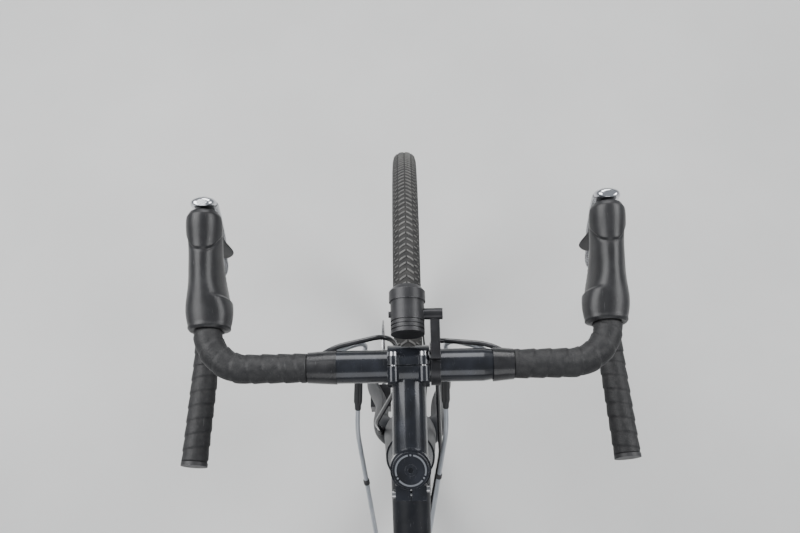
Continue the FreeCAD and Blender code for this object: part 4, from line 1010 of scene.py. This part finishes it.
glass = bpy.data.materials.new("lens_glass")
glass.use_nodes = True
t = glass.node_tree
shader = t.nodes["Principled BSDF"]
centred = add(t, "Mapping", Vector=add(t, "TexCoord").outputs["Object"],
              Location=tuple(-lamp_at)).outputs[0]
rings_of = add(t, "TexWave", {"wave_type": "RINGS", "rings_direction": "Y"}, Vector=centred,
               Scale=120.0)
ridged = add(t, "Bump", Height=rings_of.outputs[1], Strength=0.3, Distance=0.0005).outputs[0]
t.links.new(ridged, shader.inputs["Normal"])
clear = blend_colour(t, rings_of.outputs[1], (0.75, 0.78, 0.80, 1), (0.86, 0.88, 0.90, 1))
t.links.new(clear, shader.inputs["Base Color"])
shader.inputs["Transmission Weight"].default_value = 0.7
shader.inputs["Roughness"].default_value = 0.08
discs = [lamp_at + np.stack([r * MM * np.cos(around), np.full(ROUND, y * MM), r * MM * np.sin(around)],
                            1)
         for y, r in LENS]
lens_ob = solid("lamp_lens", discs, glass)
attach(lens_ob, "steering")
# distance from the axle in metres and radius in mm: base, lock ring, stem and cap
VALVE = [(0.297, 3.0), (0.2845, 3.0), (0.284, 5.5), (0.2820, 5.5), (0.2815, 3.0), (0.262, 3.0),
         (0.261, 2.2),
         (0.256, 2.2), (0.255, 2.9), (0.249, 2.7), (0.248, 1.5)]
for name, centre, body in (("front", FRONT, "front_wheel"), ("rear", REAR, "rear_wheel")):
    turn_by = math.radians(7.5)
    out = np.array([0, math.sin(turn_by), math.cos(turn_by)])
    across = np.cross(out, [1.0, 0, 0])
    rings = [centre + out * d + r * MM * (np.outer(np.cos(around),
                                                   [1.0, 0, 0]) + np.outer(np.sin(around), across))
             for d, r in VALVE]
    valve = solid(name + "_valve", rings, M["bright"])
    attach(valve, body)
print("fittings: lens, two valves")

# %% [markdown]
# The top cap carries a bright ring broken by three dots, and a rubber grommet seals the brake hose
# where it slips into the fork crown. The ring stands a few tenths of a millimetre proud, enough to
# catch light along its edge.


# %% Ring, dots and grommet
def on_cap(radius, angle, up):
    """A point over the top cap: degrees from straight ahead, mm up the steering axis."""
    a = math.radians(angle)
    way = AHEAD * math.cos(a) + np.array([math.sin(a), 0, 0])
    return RACE + AXIS * (CAP_TOP + up * MM) + radius * MM * way


cap = nodes["top_cap"]
points = np.array([cap.matrix_world @ v.co for v in cap.data.vertices]) - RACE
CAP_TOP = float((points @ AXIS).max())
marks = []
for start in (0, 120, 240):
    cells = [[on_cap(r, start + 10 + 100 * k / 24, h) for r,
              h in ((13.1, -0.3), (14.9, -0.3), (14.8, 0.25), (13.2, 0.25))]
             for k in range(25)]
    faces = [(0, 1, 2, 3), (99, 98, 97, 96)]
    faces += [(4 * k + j, 4 * k + 4 + j, 4 * k + 4 + (j + 1) % 4, 4 * k + (j + 1) % 4)
              for k in range(24) for j in range(4)]
    marks.append(([p for c in cells for p in c], faces))
    hub = on_cap(14.0, start, 0)
    base, lid = [], []
    for k in range(16):
        way = AHEAD * math.cos(k * math.pi / 8) + np.array([math.sin(k * math.pi / 8), 0, 0])
        base.append(hub + way * 0.0011 - AXIS * 0.0003)
        lid.append(hub + way * 0.0009 + AXIS * 0.0003)
    marks.append(prism(base, lid))
mesh = shell_mesh("cap_ring", marks)
mesh.materials.append(M["bright"])
ring_ob = place("cap_ring", mesh, smooth=False)
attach(ring_ob, "steering")
foot = RACE + AXIS * -0.025 + mm(-33, 0, 0)
inward = mm(-38, 352, 735) - foot
inward = inward / np.linalg.norm(inward)
side_way = np.cross(inward, [0, 1.0, 0])
side_way /= np.linalg.norm(side_way)
third = np.cross(inward, side_way)
rings = [foot + inward * d * MM + r * MM * (np.outer(np.cos(around),
                                                     side_way) + np.outer(np.sin(around), third))
         for d,
         r in ((6, 3.2), (9, 4.6), (11, 5.2), (13, 5.0), (15, 3.9), (18, 3.4), (21, 3.2), (21.5, 2.7))]
grommet = solid("hose_grommet", rings, M["hood"])
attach(grommet, "steering")
print("cap top at", round(1000 * CAP_TOP, 2), "mm along the steering axis")
